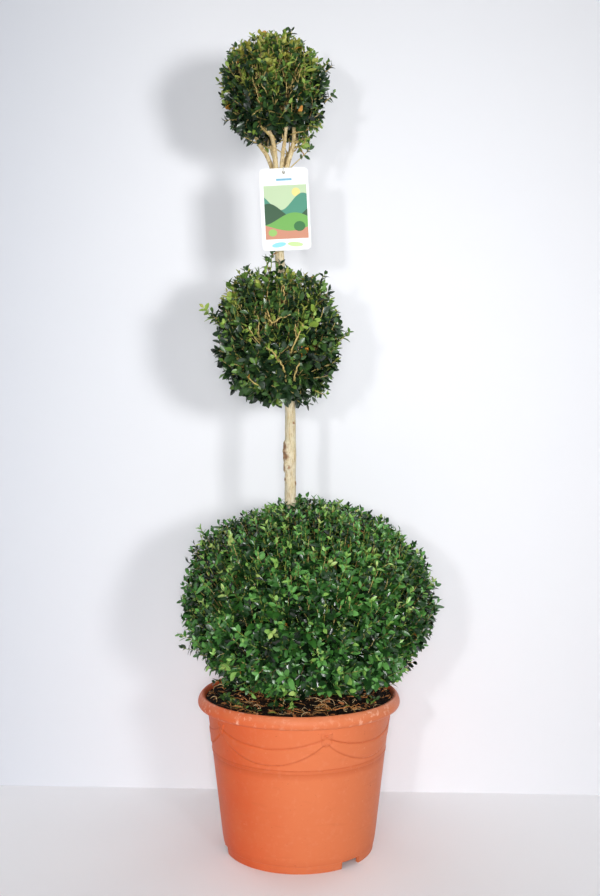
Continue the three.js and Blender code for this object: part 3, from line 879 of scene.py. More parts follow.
def barkFinish(name):
    bark = barks[name]
    made = Finish(f"{name}Bark", bark["base"], 0.72, 0.3)
    patches = made.mask(mottle, Scale=70.0, Low=0.35, High=0.65)
    green = made.mask(mottle, Scale=38.0, Low=0.5, High=0.72)
    lines = made.mask(streaks, Across=520.0, Along=45.0, Low=0.5, High=0.66)
    cracks = made.mask(streaks, Across=1100.0, Along=120.0, Low=0.54, High=0.62)
    specks = made.mask(mottle, Scale=330.0, Low=0.58, High=0.66)
    made.layer(patches, bark["patches"], 0.7)
    made.layer(green, barkMarks["green"], 0.5)
    made.layer(lines, bark["lines"], 0.45)
    made.layer(cracks, barkMarks["cracks"], 0.5)
    made.layer(specks, barkMarks["specks"], bark["specks"])
    made.layer(made.attribute("scar"), barkMarks["scar"], 0.85)
    made.rough(patches, 0.62, 0.85)
    made.bump(lines, 0.5 * mm, 0.6)
    return made.material


def lumps(points, height, width, share=1, seed=0.0):
    return height * noiseAt(points * [1, 1, share], width, seed)


def buildStem():
    points, corners = tubes(trunkLine[None], trunkRadii[None], trunk["sides"])
    out = unit(points - np.repeat(trunkLine, trunk["sides"], axis=0))
    relief = lumps(points, *trunk["grain"]) + lumps(points, *trunk["swells"], seed=4.0)
    ragged = lumps(points, 0.35, 3.2, seed=9.0)
    scar = np.zeros(len(points))
    for height, turn, radius in trunk["scars"]:
        # a raised ring of bark round a sunk middle
        middle, stemRadius = stemAt(height)
        way = np.array([math.sin(math.radians(turn)), -math.cos(math.radians(turn)), 0])
        away = np.linalg.norm((points - middle - way * stemRadius) * [1, 1, 0.8], axis=1) / radius
        relief += radius * (0.4 * np.exp(-((away - 0.65) ** 2) / 0.14) - 0.12 * np.exp(-(away**2) / 0.2))
        scar = np.maximum(scar, 1 - smoothStep(away + ragged, 0.4, 0.95))
    piece = triangleMesh("stemBark", points + out * relief[:, None], corners, [barkFinish("stem")])
    paintPoints(piece, "scar", scar)
    finish(piece, "bark", "trunk")


def buildBoughs():
    # gives their plans and middle lines, which the twigs grow from
    plans = boughPlan()
    share = np.linspace(0, 1, bough["steps"])
    paths = np.array([curveThrough(line, bough["steps"]) for _, line, _, _ in plans])
    radii = np.array([radius * (1 - bough["taper"] * share) for _, _, radius, _ in plans])
    radii[: len(topBoughs)] += bough["thicker"]
    radii[: len(topBoughs)] *= 1 + bough["swelling"] * np.exp(-share * 9)
    points, corners = tubes(paths, radii, bough["sides"])
    out = unit(points - np.repeat(paths.reshape(-1, 3), bough["sides"], axis=0))
    relief = lumps(points, *bough["grain"], seed=7.0) + lumps(points, *bough["swells"], seed=2.0)
    piece = triangleMesh("boughBark", points + out * relief[:, None], corners, [barkFinish("bough")])
    finish(piece, "bark", *[name for name, _, _, _ in plans])
    return plans, paths


buildStem()
boughPlans, boughPaths = buildBoughs()
print("stem and boughs built")

# Foliage, by the source's rule carried to finer twigs

# Each spray takes one tint: a deeper set low down, and a warmer one for the two balls in full light
tintNames = ["dark", "deep", "mid", "bright", "fresh", "pale", "gold", "amber"]
leafTints = {
    "cool": ["0a1b09", "193916", "346427", "5a9245", "82ac51", "a3bb68", "b1a652", "ad6f2d"],
    "warm": ["132215", "1f361e", "3a592c", "5f8238", "88a344", "a6ad50", "aaa748", "c88a36"],
}

woodTints = {"green": "8f9a44", "tan": "c4ad6c", "brown": "7a6236"}
woodNames = list(woodTints)

balls = [
    {
        "name": "bottom",
        "centre": (14, 0, 352),
        "radii": (182, 178, 149),
        "radiusBelow": 168,
        "square": 2,  # 2 is round, and more is squarer
        "seed": 11,
        # a way from the centre, gain of the reach there, and how many degrees across
        "bumps": [
            ((-0.85, 0, 0.4), 0.03, 22), ((-0.84, 0, 0.54), 0.06, 8), ((-0.56, 0, 0.83), -0.07, 9),
            ((1, 0, 0.02), 0.03, 12), ((-0.7, 0, -0.72), 0.06, 16), ((0.8, 0, -0.6), -0.03, 22),
            ((0, -0.8, -0.6), -0.04, 28), ((0.3, -0.95, 0.2), 0.03, 20), ((-0.2, 0.9, 0.3), -0.03, 24),
            ((-0.88, 0, -0.48), -0.07, 9), ((0.87, 0, -0.5), -0.07, 9), ((0.77, 0, -0.64), -0.06, 9),
            ((-0.35, 0, 0.94), -0.045, 12), ((0.45, 0, 0.9), -0.03, 10),
        ],
        # wood levels: how many, share of the reach, radius at the root and the tip
        "levels": [(16, 0.4, 3.4, 2.2), (70, 0.6, 2.0, 1.3), (340, 0.76, 1.1, 0.8)],
        "shoots": 3000,
        "innerShoots": 620,
        "leaf": 14.5,
        "broad": 1.1,
        "pairs": 6,  # of leaves on a shoot
        "palette": "cool",
        "lobes": 0.02,
        # sprays that stand out by themselves, as four points of a curve
        "strays": [
            [(-20, -86, 240), (-20, -96, 232), (-20, -102, 226), (-21, -106, 221)],
            [(-28, -84, 242), (-30, -94, 235), (-32, -100, 230), (-34, -103, 226)],
            [(-12, -84, 240), (-10, -95, 232), (-9, -101, 228), (-8, -104, 224)],
            [(-118, -20, 290), (-136, -24, 284), (-150, -26, 282), (-164, -28, 288)],
            [(-120, -30, 300), (-138, -34, 298), (-152, -36, 300), (-167, -38, 308)],
            [(60, -70, 250), (70, -84, 242), (76, -92, 238), (80, -98, 238)],
        ],
        "strayTints": (0, 4),  # the first one, and the one past the last
        "bareTwigs": [],
        "twigs": (0.75, 0.34),  # radius of a shoot at its root and tip
        "woodShares": (0.45, 0.72),  # green shoots, and those with the tan ones
        # share of sprays in each tint, from dark to gold
        "tints": (0.27, 0.33, 0.23, 0.11, 0.045, 0.012, 0.003),
        "amberLeaves": 0.0015,
        "flush": 0.36,  # share of shoots with pale young leaves
        "golden": 0.95,  # clumps above this noise may turn gold
        "topLight": 0.26,  # how much lighter it gets towards the top
        "open": 0.05,  # share of shoots that are missing
        "gaps": [((-0.72, -0.2, -0.68), 9), ((0.78, -0.1, -0.62), 10), ((0.86, 0.3, -0.45), 8)],
    },
    {
        "name": "middle",
        "centre": (-28, 0, 728),
        "radii": (96, 93, 102),
        "radiusBelow": 104,
        "square": 2.4,
        "seed": 23,
        "bumps": [
            ((-0.98, 0, 0.05), -0.1, 12), ((-0.95, 0, 0.3), 0.14, 9), ((0.02, 0, 1), 0.14, 8),
            ((0.92, 0, 0.38), -0.06, 14), ((0.92, 0, -0.38), -0.08, 15),
            ((0.4, -0.85, -0.3), -0.05, 18), ((-0.64, 0, 0.77), 0.09, 14), ((-0.82, 0, 0.58), 0.08, 8),
            ((0.99, 0, 0.15), 0.08, 7),
        ],
        "levels": [(16, 0.46, 2.6, 1.9), (74, 0.72, 1.7, 1.0)],
        "shoots": 800,
        "innerShoots": 130,
        "leaf": 16.6,
        "broad": 1.2,
        "pairs": 5,
        "palette": "warm",
        "lobes": 0.1,
        # twigs that show in a gap among the leaves: a curve, and the radius at its ends
        "bareTwigs": [
            ([(-18, -46, 660), (-17, -66, 674), (-22, -72, 684), (-36, -76, 700)], 1.5, 0.6),
            ([(-28, -70, 686), (-30, -76, 696), (-36, -80, 702), (-44, -80, 706)], 0.9, 0.5),
            ([(-8, -44, 656), (-7, -64, 668), (-3, -74, 680), (5, -77, 694)], 1.4, 0.6),
            ([(-14, -58, 694), (-8, -74, 706), (-2, -78, 722), (8, -78, 738)], 1.3, 0.6),
            ([(-2, -70, 716), (-5, -78, 724), (-6, -80, 732), (-5, -80, 742)], 0.8, 0.5),
            ([(-46, -58, 736), (-36, -78, 736), (-30, -84, 746), (-10, -84, 748)], 1.5, 0.9),
            ([(-36, -74, 738), (-40, -80, 744), (-41, -82, 750), (-44, -80, 758)], 1.0, 0.5),
            ([(-55, -52, 718), (-55, -68, 728), (-53, -74, 738), (-56, -74, 750)], 1.0, 0.5),
            ([(-46, -54, 704), (-54, -70, 714), (-61, -74, 722), (-71, -70, 734)], 1.1, 0.5),
            ([(-78, -26, 746), (-87, -36, 756), (-90, -40, 766), (-95, -38, 778)], 1.1, 0.5),
            ([(-20, -44, 762), (-21, -62, 774), (-19, -65, 788), (-23, -58, 802)], 1.2, 0.5),
            ([(-44, -40, 650), (-56, -56, 654), (-64, -62, 660), (-72, -64, 668)], 1.3, 0.6),
        ],
        "strayTints": (1, 5),
        "strays": [
            [(-42, -10, 812), (-40, -14, 826), (-38, -16, 838), (-36, -16, 845)],
            [(-40, -12, 815), (-44, -16, 822), (-46, -18, 829), (-47, -18, 836)],
            [(-108, -4, 738), (-119, -7, 747), (-128, -9, 757), (-136, -9, 768)],
            [(-106, -6, 742), (-114, -10, 748), (-118, -12, 753), (-122, -13, 758)],
            [(-10, -4, 642), (0, -8, 635), (8, -10, 631), (15, -10, 631)],
            [(50, -10, 716), (60, -12, 722), (66, -12, 726), (70, -12, 732)],
            [(-96, 0, 690), (-106, -4, 692), (-112, -6, 696), (-117, -6, 702)],
            [(28, 4, 800), (32, 4, 808), (35, 4, 813), (37, 4, 817)],
            [(22, -30, 650), (28, -34, 646), (33, -36, 644), (38, -37, 645)],
            [(-70, 30, 812), (-72, 34, 820), (-73, 36, 826), (-74, 37, 832)],
        ],
        "twigs": (0.95, 0.42),
        "woodShares": (0.5, 0.82),
        "tints": (0.3, 0.37, 0.2, 0.07, 0.04, 0.015, 0.005),
        "amberLeaves": 0.003,
        "flush": 0.36,
        "golden": 0.95,
        "topLight": 0.6,
        "open": 0.17,
        # where it is thin: a way from the centre, and how many degrees across
        "gaps": [
            ((-0.75, -0.2, -0.6), 9), ((0.6, -0.4, -0.7), 10), ((0.85, 0, 0.0), 8),
            ((0.47, -0.67, -0.57), 9), ((0.47, 0.67, -0.57), 13), ((-0.48, -0.65, -0.59), 8),
            ((-0.48, 0.65, -0.59), 12), ((0.62, -0.72, -0.3), 7), ((0.62, 0.72, -0.3), 11),
            ((-0.26, -0.5, 0.8), 6), ((-0.26, 0.5, 0.8), 9),
        ],
    },
    {
        "name": "top",
        "centre": (-36, 0, 1083),
        "radii": (83, 81, 84),
        "radiusBelow": 89,
        "square": 2,
        "seed": 37,
        "bumps": [
            ((0.7, 0, 0.72), -0.13, 13), ((-0.42, 0, 0.9), -0.1, 17), ((0.76, 0, -0.65), 0.08, 16),
            ((0.97, 0, -0.3), -0.09, 11), ((0.1, 0, -1), -0.24, 24), ((-0.3, -0.9, 0.3), -0.07, 18),
        ],
        "levels": [(18, 0.5, 2.5, 1.8), (76, 0.74, 1.6, 1.0)],
        "shoots": 660,
        "innerShoots": 110,
        "leaf": 15.2,
        "broad": 1.15,
        "pairs": 5,
        "palette": "warm",
        "lobes": 0.085,
        "bareTwigs": [
            ([(-34, -12, 1003), (-42, -17, 1012), (-56, -19, 1017), (-57, -20, 1036)], 2.5, 1.3),
            ([(-8, -5, 998), (-2, -8, 1006), (4, -10, 1004), (11, -11, 1003)], 2.1, 1.2),
            ([(-12, -10, 1036), (-18, -17, 1045), (-28, -22, 1048), (-42, -24, 1052)], 1.5, 0.8),
            ([(-14, -12, 1030), (-12, -32, 1050), (-17, -50, 1070), (-25, -58, 1096)], 1.6, 0.7),
            ([(-56, -10, 1034), (-60, -32, 1058), (-59, -46, 1084), (-57, -50, 1110)], 1.2, 0.6),
            ([(-24, -30, 1056), (-14, -46, 1066), (-4, -52, 1078), (6, -50, 1098)], 1.2, 0.6),
            ([(-66, 0, 1050), (-76, -20, 1072), (-82, -28, 1088), (-86, -30, 1106)], 1.2, 0.6),
        ],
        "strayTints": (1, 5),
        "strays": [
            [(-17, -6, 962), (-4, -8, 974), (8, -9, 982), (17, -9, 995)],
            [(-8, -8, 1002), (4, -14, 1004), (12, -16, 1004), (19, -16, 1008)],
            [(-7, -6, 994), (3, -10, 994), (8, -12, 998), (12, -12, 1006)],
            [(-12, -10, 1012), (2, -16, 1014), (14, -18, 1016), (24, -16, 1022)],
            [(-55, 0, 1000), (-64, -6, 1004), (-71, -9, 1004), (-78, -10, 1008)],
            [(-60, 0, 1008), (-70, -6, 1014), (-77, -8, 1014), (-84, -8, 1019)],
            [(-43, 24, 1008), (-48, 34, 1008), (-52, 42, 1010), (-56, 48, 1016)],
            [(-8, 23, 1006), (0, 32, 1004), (6, 38, 1006), (10, 43, 1012)],
            [(34, 2, 1062), (41, -2, 1063), (46, -5, 1066), (49, -6, 1072)],
            [(-20, -6, 1140), (-15, -8, 1148), (-12, -9, 1154), (-10, -9, 1158)],
            [(20, 2, 1098), (30, 0, 1104), (37, -1, 1110), (42, -2, 1117)],
            [(22, -8, 1090), (33, -10, 1096), (40, -11, 1101), (46, -12, 1108)],
            [(-72, -6, 1040), (-86, -10, 1034), (-95, -11, 1031), (-104, -12, 1031)],
            [(-66, -10, 1026), (-78, -14, 1022), (-86, -15, 1020), (-93, -16, 1021)],
            [(4, -10, 1026), (14, -14, 1023), (22, -16, 1021), (29, -16, 1021)],
            [(6, 0, 1038), (18, -4, 1034), (26, -5, 1034), (33, -6, 1036)],
        ],
        "twigs": (1.15, 0.5),
        "woodShares": (0.2, 0.85),
        "tints": (0.27, 0.29, 0.19, 0.12, 0.07, 0.035, 0.025),
        "amberLeaves": 0.006,
        "flush": 0.42,
        "golden": 0.32,
        "topLight": 1.35,
        "open": 0.1,
        "gaps": [
            ((0.55, -0.5, 0.55), 6), ((0.1, -0.68, -0.72), 14), ((0.9, 0, -0.1), 7),
            ((-0.38, -0.2, 0.9), 6),
        ],
    },
]

foliage = {
    "jitter": 0.35,  # how uneven the spread of twigs is
    "rise": 0.95,  # how far a shoot turns up as it grows out
    "riseSpread": (0.5, 1.6),
    "wander": 0.32,  # and how far it strays from that
    "straightEnd": 0.36,  # of a limb, as a share of its length
    "woodReach": (0.9, 1.06),
    "shootLength": 42,
    "shootSpread": (0.75, 1.15),
    "clumpSize": 26,
    "clumping": 2.2,  # how much opener it is in places
    "gapStrength": 0.85,
    "internode": 0.44,  # between two pairs, as a share of the leaf
    "pairAngles": (30, 46, 58, 63, 68, 70),  # degrees from the twig, from the youngest pair inwards
    "pairSizes": (0.62, 0.86, 1.0, 1.0, 0.92, 0.85),
    "outer": (0.92, 1.045),  # where shoots end, as shares of the reach
    "inner": (0.7, 0.88),  # and where those further in do
    "angleSpread": 9,
    "sizeSpread": (0.85, 1.12),
    "widthSpread": (0.75, 1.15),
    "curlSpread": (0.3, 1.8),
    "vigour": (0.76, 0.5),  # leaf size on the weakest shoots, and what the best have more
    "strayVigour": 0.78,
    "leafless": (0.12, 0.62),  # share without leaves of a shoot and of a bare twig, from its root
    # painted shade: shoots further in draw their tints scaled by this, so they come out darker
    "innerShade": 0.45,
    "palerLeaves": 0.12,  # share of leaves one tint paler than their spray
    "turned": 0.5,  # how much leaves vary in the way that they face
    "kink": 0.55,  # how far a shoot strays from its curve
    "woodKink": 0.7,
    "clearance": 0.8,  # between leaves and what they mustn't cut
    "slack": 1.045,  # leaves may go to this share of the reach
    "strayShare": 1.6,  # and those on strays to this
    "hem": 26,  # how far above the soil the lowest ball starts
    "hemRadius": 58,
    "hemBlend": 22,
    "clearing": 4.2,  # how far leaves keep from the line of sight to a bare twig
    "clearingSteps": (0, 9, 18, 27, 36),  # along that line
    "lowerLeaves": 0.14,  # how much larger leaves are at the foot of a ball
    "pieceTriangles": 180000,
}


def reach(ball, ways):
    # how far a ball reaches from its centre in some directions
    across, deep, above = ball["radii"]
    high = np.where(ways[:, 2] < 0, ball["radiusBelow"], above)
    sides = np.abs(np.stack([ways[:, 0] / across, ways[:, 1] / deep, ways[:, 2] / high], axis=1))
    radius = (sides ** ball["square"]).sum(axis=1) ** (-1 / ball["square"])
    share = np.ones(len(ways))
    for middle, gain, spread in ball["bumps"]:
        share += gain * ridge(degreesFrom(ways, middle), spread)
    return radius * share


def groundHeight(radius):
    # the height that foliage keeps above: the soil, then the rim
    overRim = radius > innerRadius(pot["height"]) - 4
    inside = np.where(overRim, pot["height"] + 1, soil["heartHeight"])
    return np.where(radius > pot["lipRadius"] + 3, 0, inside)


# points along the boughs that leaves keep clear of
limbPoints = boughPaths[:, ::3].reshape(-1, 3)
limbRadii = np.repeat([radius for _, _, radius, _ in boughPlans], boughPaths[:, ::3].shape[1])


def clearings(ball):
    # places in front of the bare twigs, where no leaf grows except on strays
    places = []
    for ends, _, _ in ball["bareTwigs"]:
        ends = np.array([ends], float)
        for share in np.linspace(0.3, 0.8, 5):
            at = bezier(ends, share)[0]
            away = unit(at - np.array(photoView["place"]) / mm)
            places += [at - away * ahead for ahead in foliage["clearingSteps"]]
    return places


def isFree(ball, points, clearance, slack=1.0):
    # inside the ball's outline, with some slack, and clear of the soil, the pot, the stem and the boughs
    offset = points - np.array(ball["centre"], float)
    distance = np.linalg.norm(offset, axis=1)
    free = distance < reach(ball, unit(offset)) * slack
    radius = np.hypot(points[:, 0], points[:, 1])
    free &= points[:, 2] > groundHeight(radius) + clearance
    # the hem hangs lower in a few places
    hemRadius = foliage["hemRadius"]
    hem = foliage["hem"] * smoothStep(radius, hemRadius, hemRadius + foliage["hemBlend"])
    hem = hem * (1 + 0.5 * noiseAt(points * [1, 1, 0], 34, 2.0))
    free &= (points[:, 2] > soil["heartHeight"] + hem) | (np.asarray(slack) == foliage["strayShare"])
    stem, stemRadius = stemAt(points[:, 2])
    free &= np.linalg.norm(points - stem, axis=1) > stemRadius + clearance
    for point, radius in zip(limbPoints, limbRadii):
        free &= ((points - point) ** 2).sum(axis=1) > (radius + clearance) ** 2
    return free


def evenWays(count, random):
    # directions spread evenly over a ball by the golden angle
    i = np.arange(count)
    z = 1 - 2 * (i + 0.5) / count
    turn = i * math.pi * (3 - math.sqrt(5))
    flat = np.sqrt(1 - z * z)
    ways = np.stack([flat * np.cos(turn), flat * np.sin(turn), z], axis=1)
    spacing = math.sqrt(4 * math.pi / count)
    return unit(ways + random.normal(0, foliage["jitter"] * spacing, (count, 3)))


def bezier(ends, share):
    # points on many cubic curves: ends is curves x 4 x 3, and share is a number or one for each
    share = np.broadcast_to(np.asarray(share, float), (len(ends),))[:, None]
    back = 1 - share
    a, b, c, d = ends[:, 0], ends[:, 1], ends[:, 2], ends[:, 3]
    return back**3 * a + 3 * back**2 * share * b + 3 * back * share**2 * c + share**3 * d


def bezierSlope(ends, share):
    share = np.broadcast_to(np.asarray(share, float), (len(ends),))[:, None]
    back = 1 - share
    a, b, c, d = ends[:, 0], ends[:, 1], ends[:, 2], ends[:, 3]
    return unit(back**2 * (b - a) + 2 * back * share * (c - b) + share**2 * (d - c))


def nearest(wanted, stock):
    # the stock point closest to each wanted one
    found = np.empty(len(wanted), int)
    for i in range(0, len(wanted), 400):
        some = wanted[i : i + 400]
        found[i : i + 400] = ((some[:, None] - stock[None]) ** 2).sum(axis=2).argmin(axis=1)
    return found


def growCurves(tips, ways, length, stock, random):
    # each limb leaves the nearest older wood below its tip, runs out and turns up
    spread = random.uniform(*foliage["riseSpread"], (len(ways), 1))
    rise = foliage["rise"] * (1 + 0.6 * ways[:, 2:]) * spread
    rising = unit(ways + up * rise + random.normal(0, foliage["wander"], ways.shape))
    wanted = tips - rising * np.asarray(length).reshape(-1, 1) - up * 4
    roots = stock[nearest(wanted, stock)]
    gone = np.linalg.norm(tips - roots, axis=1, keepdims=True)
    early = mix(roots, wanted, 0.5)
    late = tips - rising * gone * foliage["straightEnd"]
    return np.stack([roots, early, late, tips], axis=1)


def limbStock(ball):
    # points of older wood that the first twigs may leave
    centre = np.array(ball["centre"], float)
    lowest = max(centre[2] - ball["radiusBelow"] * 0.75, 222)
    heights = np.linspace(lowest, centre[2] + ball["radii"][2] * 0.45, 30)
    stem = stemAt(heights[heights < trunkLine[-1, 2]])[0]
    isCarrying = [plan[-1] == ball["name"] for plan in boughPlans]
    return np.vstack([stem, *boughPaths[isCarrying, 20:]])


def growWood(ball, random):
    # levels of twigs from the limbs outwards, with their radii, and the wood that shoots may leave
    centre = np.array(ball["centre"], float)
    stock = limbStock(ball)
    grown = []
    for count, share, rootRadius, tipRadius in ball["levels"]:
        ways = evenWays(count, random)
        far = reach(ball, ways) * share * random.uniform(*foliage["woodReach"], count)
        tips = centre + ways * far[:, None]
        kept = tips[:, 2] > groundHeight(np.hypot(tips[:, 0], tips[:, 1])) + 6
        tips, ways = tips[kept], ways[kept]
        length = 0.45 * np.linalg.norm(tips - centre, axis=1)
        ends = growCurves(tips, ways, length, stock, random)
        grown.append((ends, rootRadius, tipRadius))
        fresh = [bezier(ends, s) for s in (0.35, 0.55, 0.75, 1.0)]
        stock = np.vstack([stock if len(grown) == 1 else stock[len(stock) // 2 :], *fresh])
    return grown, stock


def growShoots(ball, random, stock):
    # gives the shoots' curves, their ways from the centre, and whether each ends at the outside
    centre = np.array(ball["centre"], float)
    outer = evenWays(ball["shoots"], random)
    inner = evenWays(ball["innerShoots"], random)
    ways = np.vstack([outer, inner])
    isOuter = np.arange(len(ways)) < len(outer)
    draw = random.random(len(ways))
    fullness = np.where(isOuter, mix(*foliage["outer"], draw), mix(*foliage["inner"], draw))
    fullness *= 1 + ball["lobes"] * (noiseAt(ways * ball["radii"], 30, ball["seed"] + 5.0) - 0.2)
    tips = centre + ways * (reach(ball, ways) * fullness - 0.6 * ball["leaf"])[:, None]
    kept = isFree(ball, tips, 1.5)
    clumps = foliage["clumping"] * noiseAt(tips, foliage["clumpSize"], ball["seed"])
    kept &= random.random(len(ways)) > ball["open"] * (1 + clumps)
    for middle, spread in ball["gaps"]:
        bare = foliage["gapStrength"] * ridge(degreesFrom(ways, middle), spread)
        kept &= random.random(len(ways)) > bare
    ways, tips, isOuter = ways[kept], tips[kept], isOuter[kept]
    length = foliage["shootLength"] * random.uniform(*foliage["shootSpread"], len(ways))
    shoots = growCurves(tips, ways, length, stock, random)
    strays = np.array(ball["strays"] + [ends for ends, _, _ in ball["bareTwigs"]], float)
    shoots = np.vstack([shoots, strays])
    ways = np.vstack([ways, unit(strays[:, 3] - centre)])
    isOuter = np.append(isOuter, np.ones(len(strays), bool))
    return shoots, ways, isOuter


def dealTints(ball, random, tips, ways, isOuter):
    # a tint for each shoot, lighter towards the top and in clumps, with painted shade further in
    light = ball["topLight"] * np.clip(ways[:, 2] * 0.9 + 0.1, -0.25, 1) * 0.3
    clumps = 0.5 + 0.6 * noiseAt(tips, 22, 3.0)
    draw = random.random(len(ways)) * 0.75 + 0.25 * clumps + light
    # painted shade: shoots that end further in take darker tints
    draw = np.where(isOuter, draw, draw * foliage["innerShade"])
    return np.searchsorted(np.cumsum(ball["tints"])[:-1], np.clip(draw, 0, 0.9999))


def clearLeaves(ball, leaves, isStray):
    # keeps the leaves that touch nothing and stay inside the reach
    slack = np.where(isStray, foliage["strayShare"], foliage["slack"])
    free = np.ones(len(leaves["size"]), bool)
    for share in (0.45, 0.75, 1.0):
        spot = leaves["root"] + leaves["along"] * (leaves["size"] * share)[:, None]
        free &= isFree(ball, spot, foliage["clearance"], slack)
        for place in clearings(ball):
            free &= isStray | (((spot - place) ** 2).sum(axis=1) > foliage["clearing"] ** 2)
    return {key: values[free] for key, values in leaves.items()}


def growLeaves(ball, random, ends, ways, isOuter):
    # opposite pairs of leaves, each pair turned a quarter round from the last, closest at the tip
    count = len(ends)
    length = np.linalg.norm(np.diff(ends, axis=1), axis=2).sum(axis=1) * 0.93
    spin = random.uniform(0, math.pi, count)
    tint = dealTints(ball, random, ends[:, 3], ways, isOuter)
    flush = random.random(count) < ball["flush"] * (1 + 0.8 * ways[:, 2] * ball["topLight"])
    # big leaves stand further apart
    least, more = foliage["vigour"]
    vigour = (least + more * random.random(count) ** 1.3) * (1 - foliage["lowerLeaves"] * ways[:, 2])
    # the strays come last, and the bare twigs last of all
    isBare = np.arange(count) >= count - len(ball["bareTwigs"])
    isStray = np.arange(count) >= count - len(ball["bareTwigs"]) - len(ball["strays"])
    flush &= ~isStray
    vigour = np.where(isStray, foliage["strayVigour"], vigour)
    tint = np.where(isStray, random.integers(*ball["strayTints"], count), tint)
    leafless = np.array(foliage["leafless"])[isBare.astype(int)]
    # the youngest leaves turn pale, and golden in some clumps
    clumps = noiseAt(ends[:, 3], 30, 9.0) + 0.5 * ways[:, 2]
    highest = tintNames.index("pale") + (clumps > ball["golden"])
    made = {key: [] for key in ("root", "along", "facing", "size", "width", "curl", "tint", "shoot")}
    for k in range(ball["pairs"]):
        apart = foliage["internode"] * ball["leaf"] * (k + 0.15) * vigour
        share = 1 - apart * random.uniform(0.9, 1.1, count) / length
        grows = share > leafless
        at = bezier(ends, np.clip(share, 0, 1))
        slope = bezierSlope(ends, np.clip(share, 0, 1))
        side = unit(np.cross(slope, unit(random.normal(0, 0.02, (count, 3)) + [0.28, 0.96, 0.1])))
        other = np.cross(slope, side)
        turn = spin + k * math.pi / 2
        side = side * np.cos(turn)[:, None] + other * np.sin(turn)[:, None]
        for way in (-1, 1):
            angle = foliage["pairAngles"][k] + random.normal(0, foliage["angleSpread"], count)
            angle = np.radians(angle)[:, None]
            along = side * way * np.sin(angle) + slope * np.cos(angle)
            along = unit(along + random.normal(0, 0.1, side.shape))
            facing = slope + 0.3 * up + 0.15 * ways + random.normal(0, foliage["turned"], side.shape)
            size = ball["leaf"] * foliage["pairSizes"][k] * vigour
            size = size * random.uniform(*foliage["sizeSpread"], count)
            isPaler = random.random(count) < foliage["palerLeaves"]
            step = np.where(flush & (k < 2), 2 - k, 0) + isPaler
            shade = np.where(tint < highest, np.minimum(tint + step, highest), tint)
            isAmber = random.random(count) < ball["amberLeaves"]
            shade = np.where(isAmber, tintNames.index("amber"), shade)
            made["root"].append(at[grows])
            made["along"].append(along[grows])
            made["facing"].append(facing[grows])
            made["size"].append(size[grows])
            made["width"].append(ball["broad"] * random.uniform(*foliage["widthSpread"], grows.sum()))
            made["curl"].append(random.uniform(*foliage["curlSpread"], grows.sum()))
            made["tint"].append(shade[grows])
            made["shoot"].append(np.flatnonzero(grows))
    leaves = {key: np.concatenate(values) for key, values in made.items()}
    return clearLeaves(ball, leaves, isStray[leaves["shoot"]])


def modelLeaf():
    # one folded, drooping oval leaf of 13 triangles, with its stalk at (0, 0, 0) and its tip near (1, 0, 0)
    bpy.ops.object.select_all(action="DESELECT")
    bpy.ops.mesh.primitive_grid_add(x_subdivisions=4, y_subdivisions=2, size=1)
    leaf = bpy.context.object
    rows = [(0.0, 0.0), (0.26, 0.18), (0.54, 0.235), (0.82, 0.145), (1.0, 0.0)]  # place and half width
    for vertex in leaf.data.vertices:
        row = round((vertex.co.x + 0.5) * 4)
        side = round(vertex.co.y * 2)
        x, halfWidth = rows[row]
        fold = 0.1 * abs(side) * math.sin(math.pi * min(x + 0.12, 1))
        vertex.co = (x, side * halfWidth, fold - 0.16 * x * x)
    bpy.ops.object.mode_set(mode="EDIT")
    bpy.ops.mesh.select_all(action="SELECT")
    bpy.ops.mesh.remove_doubles(threshold=1e-4)
    bpy.ops.mesh.quads_convert_to_tris()
    bpy.ops.object.mode_set(mode="OBJECT")
    points = np.array([vertex.co[:] for vertex in leaf.data.vertices])
    corners = np.array([face.vertices[:] for face in leaf.data.polygons])
    bpy.data.objects.remove(leaf)
    return points, corners


leafPoints, leafCorners = modelLeaf()


def spreadLeaves(leaves):
    # a copy of the leaf for each place
    along = unit(leaves["along"])
    side = unit(np.cross(leaves["facing"], along))
    over = np.cross(along, side)
    size = leaves["size"][:, None, None]
    width = leaves["width"][:, None, None]
    curl = leaves["curl"][:, None, None]
    x, y, z = [leafPoints[None, :, k, None] for k in range(3)]
    shape = x * along[:, None] + y * width * side[:, None] + z * curl * over[:, None]
    points = leaves["root"][:, None] + size * shape
    count = len(leafPoints)
    corners = np.arange(len(points))[:, None, None] * count + leafCorners[None]
    slots = np.repeat(leaves["tint"], len(leafCorners))
    return points.reshape(-1, 3), corners.reshape(-1, 3), slots


leafMaterials = {}
for palette, codes in leafTints.items():
    # old dark leaves are the glossiest
    leafMaterials[palette] = [
        plainMaterial(f"leaf_{palette}_{name}", code, 0.25 + 0.03 * i, 0.66)
        for i, (name, code) in enumerate(zip(tintNames, codes))
    ]
woodMaterials = [plainMaterial(f"twig_{name}", code, 0.6, 0.3) for name, code in woodTints.items()]


def kinkedPaths(ends, steps, kink, random, last=-1):
    # curves as lines of points that leave them a little
    marks = np.linspace(0, 1, steps)
    paths = np.stack([bezier(ends, s) for s in marks], axis=1)
    paths[:, 1:last] += random.normal(0, kink, paths[:, 1:last].shape)
    return paths, marks


